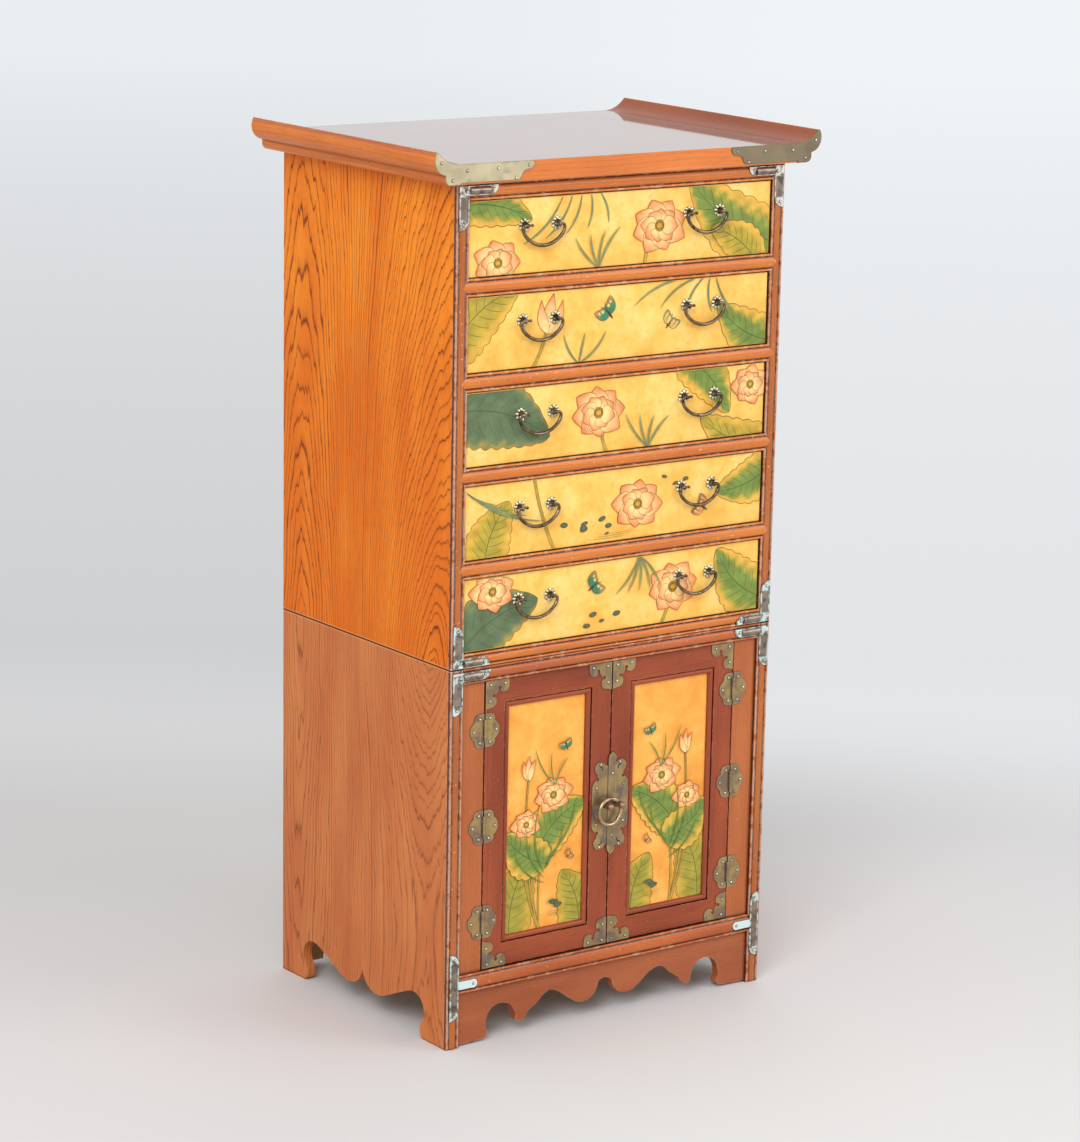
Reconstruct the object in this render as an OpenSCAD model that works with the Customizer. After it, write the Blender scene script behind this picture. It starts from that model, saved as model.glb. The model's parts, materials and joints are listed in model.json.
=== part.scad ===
// Free-standing chest: five drawers in an upper case, a cupboard with two doors below it,
// and a top board with upturned ends. Wood pieces, brass plates and pulls are separate.
// Millimetres, +Z up, front towards -Y, origin at the middle of the footprint on the floor.

/* [Piece shown] */
// Name of the piece to draw, or all of them

/* [Case] */
// Width over the side boards
case_w = 560; // [540:1:600]
// Depth of the case
case_d = 430; // [400:1:470]
// Height of the lower case
seam_z = 550; // [520:1:590]
// Height of the case under the top board
case_h = 1215; // [1180:1:1260]
// Thickness of the side boards
side_t = 14; // [12:1:14]
// Distance of a side board behind the front face
side_set = 7; // [6:0.5:9]
// Thickness of the back panels
back_t = 10; // [6:1:14]
// Distance of the back panels in front of the rear edge
back_set = 4; // [0:1:10]
// Thickness of the thin floors and dust boards
floor_t = 8; // [6:1:8]
// Thickness of the lower case's top and of the cupboard floor
shelf_t = 12; // [8:1:18]

/* [Top board] */
// Thickness of the top board
board_t = 28; // [22:1:34]
// Overhang of the top board at the front
front_over = 17; // [10:1:24]
// Overhang of the top board at the rear
rear_over = 8; // [0:1:20]
// Reach of the rolled ends beyond the case side
roll_over = 48.5; // [46:0.5:52]
// Radius of the roll on the underside
roll_r = 20; // [18:0.5:21]
// Height of the upturned tips over the board
tip_rise = 17; // [12:1:18]
// Radius of the hollow that runs up to a tip
hollow_r = 44.5; // [42:0.5:48]
// Width of the lip under the roll, from the case side
lip_w = 31; // [29:0.5:32]
// Rounding of the lip's lower edge
lip_r = 9; // [4:0.5:12]
// Rounding of the board's lower front edge
edge_r = 3; // [1:0.5:6]

/* [Posts and rails] */
// Width of a front post
post_w = 21; // [18:1:26]
// Depth of posts and rails
frame_d = 24; // [22:1:32]
// Height of the upper case's bottom rail
base_rail_h = 21; // [18:1:28]
// Height of a rail between drawers
mid_rail_h = 25; // [20:1:30]
// Height of the upper case's top rail
top_rail_h = 24; // [20:1:30]
// Width of the small beads along posts and rails
bead_w = 3.6; // [2.8:0.1:4.4]
// Width of the grooves beside the beads
groove_w = 0.9; // [0.5:0.1:1.4]
// Depth of the moulding
mould_h = 2.2; // [1.9:0.1:3]
// Length of a rail's pointed end let into the post
tongue_l = 9.5; // [5:0.5:12]
// Depth of a rail's pointed end
tongue_d = 6; // [4:0.5:6]

/* [Drawers] */
// Distance of the drawer fronts behind the posts
drawer_set = 5; // [2:0.5:8]
// Gap beside a drawer front
drawer_gap = 1; // [0.5:0.1:1.5]
// Gap under a drawer front
under_gap = 0.5; // [0.4:0.1:1]
// Gap over a drawer front
over_gap = 1.5; // [0.8:0.1:2]
// Thickness of a drawer front
front_t = 18; // [12:1:20]
// Thickness of the drawer sides and back
drawer_side_t = 11; // [8:1:14]
// Height of the drawer sides
drawer_side_h = 84; // [60:1:90]
// Length of a drawer box behind its front
drawer_l = 365; // [300:5:365]
// Thickness of a drawer bottom
drawer_bottom_t = 5; // [4:0.5:8]
// Height of a drawer bottom over the side's lower edge
bottom_lift = 8; // [4:1:12]
// Width of a drawer runner
runner_w = 22; // [18:1:30]
// Height of a drawer runner
runner_h = 12; // [8:1:12]

/* [Drawer pulls] */
// Distance of a pull's middle from the case side
pull_x = 140; // [110:1:180]
// Height of the pull's posts over the lower edge of the opening
pull_z = 65; // [55:1:75]
// Distance between a pull's two posts
pull_gap = 54; // [48:1:60]
// Distance of the pull's swing axis from the drawer front
pull_out = 8.5; // [7.5:0.5:10]
// Width of the bow over its bends
bow_w = 74; // [72:1:80]
// Drop of the bow below its swing axis
bow_drop = 29.5; // [26:0.5:34]
// Thickness of the bow
bow_d = 5.2; // [4:0.1:5.6]
// Thickness of the bow's ends in the posts
bow_pin_d = 3; // [2.4:0.1:3.2]
// Clearance around the bow's ends, on the radius
bow_fit = 0.07; // [0.02:0.01:0.09]
// Diameter of a rosette under a post
rosette_d = 20; // [18:0.5:22]

/* [Cupboard] */
// Height of the lower case's top rail
head_rail_h = 22.5; // [20:0.5:26]
// Height of the apron's top edge over the floor
apron_z = 80; // [76:1:88]
// Height of the rail over the apron
sill_h = 27; // [22:1:30]
// Width of the fixed strip beside each door
stile_w = 38.75; // [34:0.25:42]
// Distance of doors, fixed strips and apron behind the posts
face_set = 6; // [5:0.5:7]
// Thickness of the doors
door_t = 18; // [16:0.5:18]
// Gap over and under a door
door_gap = 1.5; // [1.2:0.1:2]
// Gap between a door and its fixed strip
hinge_gap = 2.5; // [2.4:0.1:3]
// Gap between the two doors
seam_gap = 2.5; // [2.4:0.1:3.5]
// Width of the flat part of a door's frame
door_flat = 33; // [28:0.5:36]
// Radius of the bead round a door's panel
door_bead_r = 4.5; // [3:0.1:4.8]
// Distance of the door panel behind the door's face
panel_set = 5; // [5:0.5:7]
// Thickness of a door panel
panel_t = 6; // [4:0.5:8]
// Depth of a door panel in its groove
panel_lap = 6; // [3:0.5:8]
// Thickness of the apron
apron_t = 14; // [12:1:16]

/* [Metalwork] */
// Thickness of the plates
plate_t = 1.2; // [0.8:0.1:1.4]
// Diameter of a nail head
nail_d = 4.6; // [3.6:0.1:5]
// Height of a nail head
nail_h = 1.5; // [1:0.1:2]
// Height of the ridge along a corner strap
ridge_h = 3.4; // [2:0.1:3.8]
// Distance of the first hinge's middle from the door's end
hinge_end = 69.5; // [60:0.5:80]
// Height of a hinge
hinge_h = 48; // [46:0.5:50]
// Width of a hinge leaf
leaf_w = 24.25; // [22:0.25:26]
// Diameter of a hinge knuckle
knuckle_d = 5; // [4.6:0.1:5.4]
// Diameter of a hinge pin
hinge_pin_d = 2.4; // [2:0.1:2.8]
// Clearance of the door's knuckle on its pin, on the radius
hinge_fit = 0.06; // [0.02:0.01:0.09]
// Distance of the hinge axis in front of the door's face
hinge_out = 2.5; // [2.4:0.1:2.7]

/* [Ring pull] */
// Radius of the ring, to the middle of the wire
ring_r = 19; // [18.75:0.25:19.25]
// Thickness of the wire
ring_d = 5.6; // [5:0.1:5.6]
// Height of the two studs over the floor
stud_z = 317.5; // [300:0.5:330]
// Distance of a stud from the middle of the chest
stud_x = 10.2; // [10:0.1:10.6]
// Diameter of a stud's stem
stud_d = 9.8; // [9.4:0.1:9.9]
// Radius of a stud's ball
stud_ball_r = 5.2; // [5:0.1:5.3]
// Distance of the ball's middle from the door's face
stud_out = 18; // [17.5:0.1:18.5]
// Distance of the ring's hole from the door's face
eye_out = 11; // [10.5:0.1:11.2]
// Diameter of the ring's hole in the stem
eye_d = 6.9; // [6.8:0.1:7.1]

/* [Hidden] */
$fn = 48;

// Colours of the materials
wood_side = [0.82, 0.45, 0.15];
wood_frame = [0.72, 0.38, 0.2];
wood_door = [0.54, 0.25, 0.18];
wood_pale = [0.8, 0.66, 0.46];
paint = [0.95, 0.77, 0.4];
brass = [0.56, 0.5, 0.35];
dark_metal = [0.29, 0.25, 0.21];

// Heights and distances that follow from the sizes above
drawer_count = 5;
board_z = case_h + board_t;
open_h = (case_h - seam_z - base_rail_h - top_rail_h
  - (drawer_count - 1) * mid_rail_h) / drawer_count;
pitch_z = open_h + mid_rail_h;
first_open_z = seam_z + base_rail_h;
open_w = case_w - 2 * post_w;
inner_w = case_w - 2 * side_t;
back_y = case_d - back_set - back_t;
deck_d = back_y - frame_d;
sill_z = apron_z + sill_h;
head_z = seam_z - head_rail_h;
stile_x = post_w + stile_w;
door_x = stile_x + hinge_gap;
door_w = (case_w - seam_gap) / 2 - door_x;
door_z = sill_z + door_gap;
door_h = head_z - sill_z - 2 * door_gap;
frame_w = door_flat + 2 * door_bead_r;
hinge_x = stile_x + hinge_gap / 2;
hinge_y = face_set - hinge_out;
plate_y = face_set - plate_t;
mid_x = case_w / 2;
front_reach = front_over + plate_t + nail_h;
front_y = front_reach - (front_reach + case_d + rear_over) / 2;
curve_n = 8;
over = 1;
glue = 0.05;

// Puts what is measured from the case's left front corner into place
module in_case() {
  translate([-mid_x, front_y, 0]) children();
}

// The thing itself and its mirror image on the right side of the case
module both() {
  children();
  right() children();
}

module right() {
  translate([case_w, 0, 0]) mirror([1, 0, 0]) children();
}

// Flat shape in x and z, drawn forward from the plane y by thickness t
module plate(y, t) {
  translate([0, y, 0]) rotate([90, 0, 0]) linear_extrude(t) children();
}

// Shape in y and z, drawn along x by length l
module along_x(l) {
  rotate([90, 0, 90]) linear_extrude(l) children();
}

// Points of a smooth curve from a to d, pulled towards b and c
function bend(a, b, c, d) = [
  for (i = [0:curve_n - 1])
    let (t = i / curve_n)
    pow(1 - t, 3) * a + 3 * pow(1 - t, 2) * t * b + 3 * (1 - t) * t * t * c + t * t * t * d
];

// Closed outline from a lower edge that is drawn from the middle outwards, up to the height z
function two_sided(edge, half, z) = concat(
  edge,
  [[half, z], [-half, z]],
  [for (i = [len(edge) - 1:-1:1]) [-edge[i][0], edge[i][1]]]
);

// Domed nail heads at the points of the list, on the plane y
module nails(points, y) {
  dome_r = (nail_d * nail_d / 4 + nail_h * nail_h) / (2 * nail_h);
  for (p = points)
    translate([p[0], y, p[1]]) rotate([90, 0, 0]) rotate_extrude()
      intersection() {
        translate([0, nail_h - dome_r]) circle(r = dome_r);
        square([nail_d, nail_h]);
      }
}

// Points on the arc over the stretch u0 to u1 of a moulding's front, rising by h
function arch(u0, u1, h, n) =
  let (half = (u1 - u0) / 2, r = (half * half + h * h) / (2 * h), a = asin(min(1, half / r)))
  [for (i = [0:n])
    let (t = a * (2 * i / n - 1))
    [u0 + half + r * sin(t), max(0, mould_h - h + r * (1 - cos(t)))]];

// Section of posts and rails: two small beads and a broad rib with a narrow flat
module moulding(w, d) {
  rise = mould_h + 0.05;
  bead_h = bead_w / 2 - 0.05;
  inner = bead_w + groove_w;
  polygon(concat(
    arch(0.1, bead_w, bead_h, 6),
    arch(inner, w - inner, rise, 12),
    arch(w - bead_w, w - 0.1, bead_h, 6),
    [[w, mould_h], [w, d], [0, d], [0, mould_h]]
  ));
}

// Pointed end of a rail of height h, in the left post
module tongue(h, extra) {
  plate(tongue_d, tongue_d + extra)
    polygon([[post_w, 0], [post_w + over, 0], [post_w + over, h], [post_w, h],
      [post_w - tongue_l, h / 2]]);
}

// Rail between the posts, with square ends
module plain_rail(z, h) {
  translate([post_w, 0, z]) along_x(open_w) mirror([1, -1]) moulding(h, frame_d);
}

// Rail with its pointed ends in the posts
module pointed_rail(z, h) {
  translate([0, 0, z]) intersection() {
    along_x(case_w) mirror([1, -1]) moulding(h, frame_d);
    union() {
      translate([post_w, 0, 0]) cube([open_w, frame_d, h]);
      both() tongue(h, 0);
    }
  }
}

// Left post from z0 to z1 with notches for the pointed rails [z, h]
module post(z0, z1, rails) {
  difference() {
    translate([0, 0, z0]) linear_extrude(z1 - z0) difference() {
      moulding(post_w, frame_d);
      translate([-over, side_set]) square([side_t + over, frame_d]);
    }
    for (r = rails)
      translate([0, 0, r[0]]) tongue(r[1], over);
  }
}

// Top board with its two rolled ends
module scroll_section() {
  tip_z = board_z + tip_rise;
  roll_x = roll_r - roll_over;
  roll_z = tip_z - 11;
  difference() {
    union() {
      intersection() {
        translate([roll_x, roll_z]) circle(r = roll_r);
        translate([-2 * roll_over, case_h]) square([2 * roll_over - joint_x, tip_z - case_h]);
      }
      translate([-lip_w, case_h + lip_r]) square([lip_w - joint_x, roll_z - case_h - lip_r]);
      translate([lip_r - lip_w, case_h]) square([lip_w - lip_r - joint_x, lip_r + over]);
      translate([lip_r - lip_w, case_h + lip_r]) circle(r = lip_r);
    }
    translate([-joint_x - over, board_z + hollow_r]) circle(r = hollow_r, $fn = 96);
  }
}
joint_x = 7;

module scroll_end() {
  translate([0, case_d + rear_over, 0]) rotate([90, 0, 0])
    linear_extrude(case_d + rear_over + front_over) scroll_section();
}

module top_board() {
  color(wood_frame) in_case()
    translate([-joint_x, 0, 0]) along_x(case_w + 2 * joint_x) {
      translate([-front_over, case_h + edge_r])
        square([front_over + case_d + rear_over, board_t - edge_r]);
      translate([edge_r - front_over, case_h])
        square([front_over - edge_r + case_d + rear_over, edge_r]);
      translate([edge_r - front_over, case_h + edge_r]) circle(r = edge_r);
    }
}

module scroll_end_left() {
  color(wood_frame) in_case() scroll_end();
}

module scroll_end_right() {
  color(wood_frame) in_case() right() scroll_end();
}

// Plate over the front of a rolled end and of the board beside it
module top_plate_shape() {
  low = edge_r;
  difference() {
    scroll_section();
    translate([-lip_w, case_h - over]) square([lip_w, over + 1]);
  }
  polygon(concat(
    [[-joint_x - over, case_h + low], [86, case_h + low]],
    bend([86, case_h + low], [92, case_h + low + 2], [91, case_h + 15], [99, case_h + 16]),
    bend([99, case_h + 16], [115, case_h + 16], [115, board_z], [107, board_z]),
    [[107, board_z], [-joint_x - over, board_z]]
  ));
}

module top_corner_plates() {
  color(brass) in_case() both() plate(-front_over, plate_t) top_plate_shape();
}

// Side boards
module side_board(z0, z1) {
  translate([0, side_set, z0]) cube([side_t, case_d - side_set, z1 - z0]);
}

module upper_side_left() {
  color(wood_side) in_case() side_board(seam_z, case_h);
}

module upper_side_right() {
  color(wood_side) in_case() right() side_board(seam_z, case_h);
}

// Lower edge of a side board, from its middle outwards: cusp, lobe, wave and foot
function side_edge() =
  let (e = case_d / 2)
  concat(
    bend([0, 60], [3, 46], [16, 32], [36, 32]),
    bend([36, 32], [54, 32], [62, 39], [80, 46]),
    bend([80, 46], [100, 54], [e - 97, 64.5], [e - 84, 64.5]),
    bend([e - 84, 64.5], [e - 66, 64.5], [e - 57, 52], [e - 57, 40]),
    bend([e - 57, 40], [e - 57, 27], [e - 68, 25], [e - 67, 11]),
    bend([e - 67, 11], [e - 67, 6], [e - 64, 0], [e - 59, 0]),
    [[e - 59, 0], [e, 0]]
  );

module lower_side() {
  half = case_d / 2;
  translate([0, half, 0]) along_x(side_t) intersection() {
    polygon(two_sided(side_edge(), half, seam_z));
    translate([side_set - half, 0]) square([case_d - side_set, seam_z]);
  }
}

module lower_side_left() {
  color(wood_side) in_case() lower_side();
}

module lower_side_right() {
  color(wood_side) in_case() right() lower_side();
}

// Back panels and decks
module upper_back_panel() {
  color(wood_pale) in_case()
    translate([side_t, back_y, seam_z]) cube([inner_w, back_t, case_h - seam_z]);
}

module upper_floor() {
  color(wood_pale) in_case()
    translate([side_t, frame_d, seam_z]) cube([inner_w, deck_d, floor_t]);
}

module lower_back_panel() {
  foot = 62;
  rise = 55;
  color(wood_pale) in_case() difference() {
    translate([side_t, back_y, 8]) cube([inner_w, back_t, seam_z - 8]);
    translate([foot + rise, back_y - over, 0]) cube([case_w - 2 * (foot + rise), back_t + 2 * over, rise + 8]);
    both() translate([foot + rise, back_y + back_t + over, 8]) rotate([90, 0, 0])
      cylinder(r = rise, h = back_t + 2 * over);
  }
}

module lower_top_board() {
  color(wood_pale) in_case()
    translate([side_t, frame_d, seam_z - shelf_t]) cube([inner_w, deck_d, shelf_t]);
}

module cupboard_floor() {
  color(wood_pale) in_case()
    translate([side_t, frame_d, sill_z - shelf_t]) cube([inner_w, deck_d, shelf_t]);
}

// Posts and rails
mid_rails = [
  for (i = [1:drawer_count - 1]) [first_open_z + i * pitch_z - mid_rail_h, mid_rail_h]
];
sill_rail = [apron_z, sill_h];

module upper_posts() {
  color(wood_frame) in_case() both() post(seam_z, case_h, mid_rails);
}

module lower_posts() {
  color(wood_frame) in_case() both() post(0, seam_z, [sill_rail]);
}

module upper_rails() {
  color(wood_frame) in_case() {
    plain_rail(seam_z, base_rail_h);
    plain_rail(case_h - top_rail_h, top_rail_h);
    for (r = mid_rails) pointed_rail(r[0], r[1]);
  }
}

module lower_rails() {
  color(wood_frame) in_case() {
    plain_rail(head_z, head_rail_h);
    pointed_rail(sill_rail[0], sill_rail[1]);
  }
}

module fixed_stiles() {
  color(wood_frame) in_case() both()
    translate([post_w, face_set, sill_z]) cube([stile_w, frame_d - face_set, head_z - sill_z]);
}

// Lower edge of the apron, from its middle outwards: cusp, lobe, wave, small lobe, arch, foot
function apron_edge() =
  let (e = open_w / 2, arch_r = 26, arch_x = e - 75.5)
  concat(
    bend([0, 56], [5, 55], [11, 54], [13, 48]),
    bend([13, 48], [15, 37], [23, 26], [40, 26]),
    bend([40, 26], [61, 26], [76, 55], [e - 161, 55]),
    bend([e - 161, 55], [e - 147, 55], [e - 144, 37], [e - 125, 34.5]),
    bend([e - 123, 31], [e - 119, 22], [e - 115, 18.5], [e - 109, 18.5]),
    bend([e - 109, 18.5], [e - 104, 18.5], [arch_x - arch_r, 20], [arch_x - arch_r, 26]),
    [for (a = [180:-12:0]) [arch_x + arch_r * cos(a), 26 + arch_r * sin(a)]],
    bend([arch_x + arch_r, 22], [arch_x + arch_r, 17], [e - 53, 15], [e - 53, 11]),
    bend([e - 53, 11], [e - 52, 6], [e - 48, 4.5], [e - 42, 4]),
    [[e, 2.5]]
  );

module front_apron() {
  color(wood_frame) in_case() translate([mid_x, 0, 0]) plate(face_set + apron_t, apron_t)
    polygon(two_sided(apron_edge(), open_w / 2, apron_z));
}

module drawer_runners() {
  color(wood_pale) in_case() both()
    for (i = [0:drawer_count - 1])
      translate([side_t, frame_d, first_open_z + i * pitch_z - runner_h])
        cube([runner_w, deck_d, runner_h]);
}

// Corner straps: an arm of length l and width w with a quarter-round end and a ridge
module strap_arm_shape(l, w) {
  square([l - w, w]);
  intersection() {
    translate([l - w, 0]) circle(r = w);
    square([l, w]);
  }
}

// Low round ridge of width w and length l along x, on the plane y = 0 and forward of it
module ridge(l, w) {
  r = (w * w / 4 + ridge_h * ridge_h) / (2 * ridge_h);
  along_x(l) intersection() {
    translate([r - ridge_h, 0]) circle(r = r);
    translate([-ridge_h, -w / 2]) square([ridge_h, w]);
  }
}

// Strap in the lower left corner, its arms lx and lz long; flipped for an upper corner
strap_wx = 12.5;
strap_wz = 16;
// Distances of a ridge's ends from the strap's corner and from the arm's tip, and its width
ridge_x = [17, 13, 11];
ridge_z = [14, 15, 12.5];
module corner_strap(lx, lz) {
  plate(0, plate_t) {
    strap_arm_shape(lx, strap_wx);
    mirror([1, -1]) strap_arm_shape(lz, strap_wz);
  }
  translate([ridge_x[0], -plate_t, strap_wx / 2]) ridge(lx - ridge_x[0] - ridge_x[1], ridge_x[2]);
  translate([strap_wz / 2, -plate_t, ridge_z[0]]) rotate([0, -90, 0])
    ridge(lz - ridge_z[0] - ridge_z[1], ridge_z[2]);
}

strap_x = 3;
upper_straps = [[seam_z + 2, 60, 60], [case_h - 4, 63, 59]];
lower_strap = [seam_z - 5, 62, 60];

module upper_corner_straps() {
  color(brass) in_case() both() {
    translate([strap_x, 0, upper_straps[0][0]])
      corner_strap(upper_straps[0][1], upper_straps[0][2]);
    translate([strap_x, 0, upper_straps[1][0]]) mirror([0, 0, 1])
      corner_strap(upper_straps[1][1], upper_straps[1][2]);
  }
}

// Lower case: a corner strap at the top, a T-shaped one over the foot; the T's upright has
// rounded ends and a ridge between its nails, its arm ends in an eye
tee_x = 4;
tee_w = 14.5;
tee_z = [42, 140];
tee_nail = 8;
tee_ridge_w = 10.5;
tee_arm_w = 11.5;
tee_arm_z = apron_z + 13;
tee_eye_x = 44;
tee_eye_d = 12.5;
module tee_strap() {
  plate(0, plate_t) {
    for (up = [0, 1]) translate([tee_x, tee_arm_z]) mirror([0, 1 - up]) mirror([1, -1])
      strap_arm_shape(abs(tee_z[up] - tee_arm_z), tee_w);
    translate([tee_x + tee_w / 2, tee_arm_z - tee_arm_w / 2])
      square([tee_eye_x - tee_x - tee_w / 2, tee_arm_w]);
    translate([tee_eye_x, tee_arm_z]) circle(d = tee_eye_d);
  }
  translate([tee_x + tee_w / 2, -plate_t, tee_z[0] + ridge_z[1]]) rotate([0, -90, 0])
    ridge(tee_z[1] - tee_z[0] - 2 * ridge_z[1], tee_ridge_w);
}

module lower_corner_straps() {
  color(brass) in_case() both() {
    translate([strap_x, 0, lower_strap[0]]) mirror([0, 0, 1])
      corner_strap(lower_strap[1], lower_strap[2]);
    tee_strap();
  }
}

// Nails of the case, at the left and mirrored at the right; each strap has one in its corner
strap_nail = [12, 7.5];
module case_nails() {
  z_top = upper_straps[1][0];
  z_low = upper_straps[0][0];
  z_seam = lower_strap[0];
  color(brass) in_case() both() {
    nails([[-38, board_z + 3], [-20, case_h + 7], [3, board_z - 9], [53, board_z - 8],
      [103, board_z - 6], [82, case_h + 6]], -front_over - plate_t);
    for (s = [[z_top, -1, 54, 51], [z_low, 1, 51, 52], [z_seam, -1, 53, 52]])
      nails([
        [strap_x + strap_nail[0], s[0] + s[1] * strap_nail[1]],
        [strap_x + s[2], s[0] + s[1] * 5], [strap_x + 6, s[0] + s[1] * s[3]]
      ], -plate_t);
    nails([
      [tee_x + tee_w / 2, tee_z[0] + tee_nail], [tee_x + tee_w / 2, tee_z[1] - tee_nail],
      [tee_eye_x, tee_arm_z]
    ], -plate_t);
    for (z = hinge_list) nails(leaf_nails(-1, z), plate_y);
  }
}

// Hinges: each leaf has a broad lobe between two small ones
hinge_list = [for (k = [0, 0.5, 1]) door_z + hinge_end + k * (door_h - 2 * hinge_end)];
knuckle_gap = 0.25;
door_knuckle = 8;
case_knuckle = 16;
leaf_gap = hinge_gap / 2;

function leaf_nails(side, z) = [
  [hinge_x + side * (leaf_w - 5.25), z],
  [hinge_x + side * 8.5, z + 17],
  [hinge_x + side * 8.5, z - 17]
];

module leaf_shape(cut0, cut1) {
  lobe_r = 8.5;
  big_r = 15;
  difference() {
    union() {
      intersection() {
        translate([leaf_w - big_r, 0]) circle(r = big_r);
        translate([leaf_gap, -hinge_h / 2]) square([leaf_w, hinge_h]);
      }
      for (s = [-1, 1]) translate([lobe_r, s * (hinge_h / 2 - lobe_r)]) circle(r = lobe_r);
      translate([leaf_gap, -hinge_h / 2]) square([lobe_r - leaf_gap, hinge_h]);
    }
    translate([-lobe_r, -hinge_h]) square([lobe_r + leaf_gap, 2 * hinge_h]);
    for (s = [-1, 1])
      translate([-over, s > 0 ? cut0 : -cut1]) square([over + knuckle_d / 2 + 0.3, cut1 - cut0]);
  }
}

// One knuckle round the pin, joined to its leaf
module knuckle(z0, z1, bore) {
  translate([0, 0, z0]) difference() {
    union() {
      cylinder(d = knuckle_d, h = z1 - z0);
      translate([0, hinge_out - plate_t, 0]) cube([knuckle_d / 2 + over, plate_t, z1 - z0]);
    }
    translate([0, 0, -over]) cylinder(d = bore, h = z1 - z0 + 2 * over);
  }
}

// Leaf that reaches towards +X from the hinge axis
module case_leaf() {
  plate(hinge_out, plate_t) leaf_shape(0, door_knuckle + knuckle_gap);
  for (s = [0, 1]) mirror([0, 0, s])
    knuckle(door_knuckle + knuckle_gap, case_knuckle, hinge_pin_d);
}

module door_leaf() {
  plate(hinge_out, plate_t)
    leaf_shape(door_knuckle, case_knuckle + knuckle_gap);
  knuckle(-door_knuckle, door_knuckle, hinge_pin_d + 2 * hinge_fit);
}

module case_hinge_leaves() {
  color(brass) in_case() both() for (z = hinge_list) translate([hinge_x, hinge_y, z]) {
    mirror([1, 0, 0]) case_leaf();
    translate([0, 0, -case_knuckle]) cylinder(d = hinge_pin_d, h = 2 * case_knuckle);
  }
}

module door_hinge_leaves() {
  for (z = hinge_list) translate([hinge_x, hinge_y, z]) door_leaf();
}

// Doors: four mitred members round a panel in a groove
module frame_member(l) {
  intersection() {
    linear_extrude(l) difference() {
      union() {
        square([door_flat, door_t]);
        translate([door_flat, door_bead_r]) square([2 * door_bead_r, door_t - door_bead_r]);
        translate([door_flat + door_bead_r, door_bead_r]) circle(r = door_bead_r);
      }
      translate([frame_w - panel_lap, panel_set]) square([panel_lap + over, panel_t]);
    }
    plate(door_t, door_t)
      polygon([[0, glue], [frame_w, frame_w + glue], [frame_w, l - frame_w - glue], [0, l - glue]]);
  }
}

module door_frame() {
  translate([door_x, face_set, door_z]) {
    frame_member(door_h);
    translate([door_w, 0, 0]) mirror([1, 0, 0]) frame_member(door_h);
    mirror([0, 0, 1]) rotate([0, 90, 0]) frame_member(door_w);
    translate([0, 0, door_h]) rotate([0, 90, 0]) frame_member(door_w);
  }
}

module door_panel() {
  hidden = frame_w - panel_lap;
  translate([door_x + hidden, face_set + panel_set, door_z + hidden])
    cube([door_w - 2 * hidden, panel_t, door_h - 2 * hidden]);
}

// Corner plate at the lower left of a door: a blunt middle and a lobe at each end, with a
// round notch on either side of the middle
corner_w = 39;
corner_h = 40;
corner_mid = 20;
corner_neck = 9;
corner_arm_w = 10.8;
corner_lobe_r = 8.2;
corner_lobe_x = [corner_w - corner_lobe_r - 0.3, corner_neck + 0.6];
corner_lobe_z = [corner_neck + 0.6, corner_h - corner_lobe_r - 2];
notch_r = 2.7;
module corner_shape() {
  difference() {
    union() {
      square([corner_w, corner_neck]);
      square([corner_arm_w, corner_h - corner_lobe_r]);
      polygon([[0, 0], [corner_neck, 0], [corner_neck, corner_h - 2.2], [0, corner_h]]);
      polygon([[0, 0], [corner_mid + 1.5, 0], [corner_mid + 0.5, corner_mid - 5],
        [corner_mid - 3, corner_mid], [0, corner_mid + 1]]);
      for (p = [corner_lobe_x, corner_lobe_z]) translate(p) circle(r = corner_lobe_r);
    }
    translate([corner_mid + 3.1, corner_neck + 2.2]) circle(r = notch_r);
    translate([corner_neck + 4.2, corner_mid + 1.4]) circle(r = notch_r);
  }
}

module corner_plates() {
  for (side = [0, 1], end = [0, 1])
    translate([door_x + side * door_w, 0, door_z + end * door_h])
      mirror([side, 0, 0]) mirror([0, 0, end]) plate(face_set, plate_t) corner_shape();
}

corner_nails = [
  for (side = [0, 1], end = [0, 1], p = [[7.5, 5.5], [32, 5.5], [6.5, 29]])
    [door_x + side * door_w + (side ? -1 : 1) * p[0], door_z + end * door_h + (end ? -1 : 1) * p[1]]
];

// Lock plate: half of it, from its inner edge outwards, upper part mirrored below
lock_h = 30;
lobe_r = 9.5;
module lock_half(w) {
  for (s = [0, 1]) mirror([0, s]) difference() {
    union() {
      square([w, lock_h]);
      polygon(concat(
        bend([w, lock_h - over], [w - 1, lock_h + 8], [w - 9, lock_h + 6], [w - 9, lock_h + 17]),
        [[w - 9, lock_h + 17], [w - 13, lock_h + 34], [0, lock_h + 27], [0, 0], [w, 0]]
      ));
      translate([w - 4 - lobe_r, lock_h + 25]) circle(r = lobe_r);
    }
    difference() {
      translate([w - 5 - lobe_r, lock_h + 24]) circle(r = 4.2);
      translate([w - 3.4 - lobe_r, lock_h + 22.6]) circle(r = 4);
    }
    translate([w - 8.8, lock_h + 10]) circle(r = 2.8);
  }
}

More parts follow.
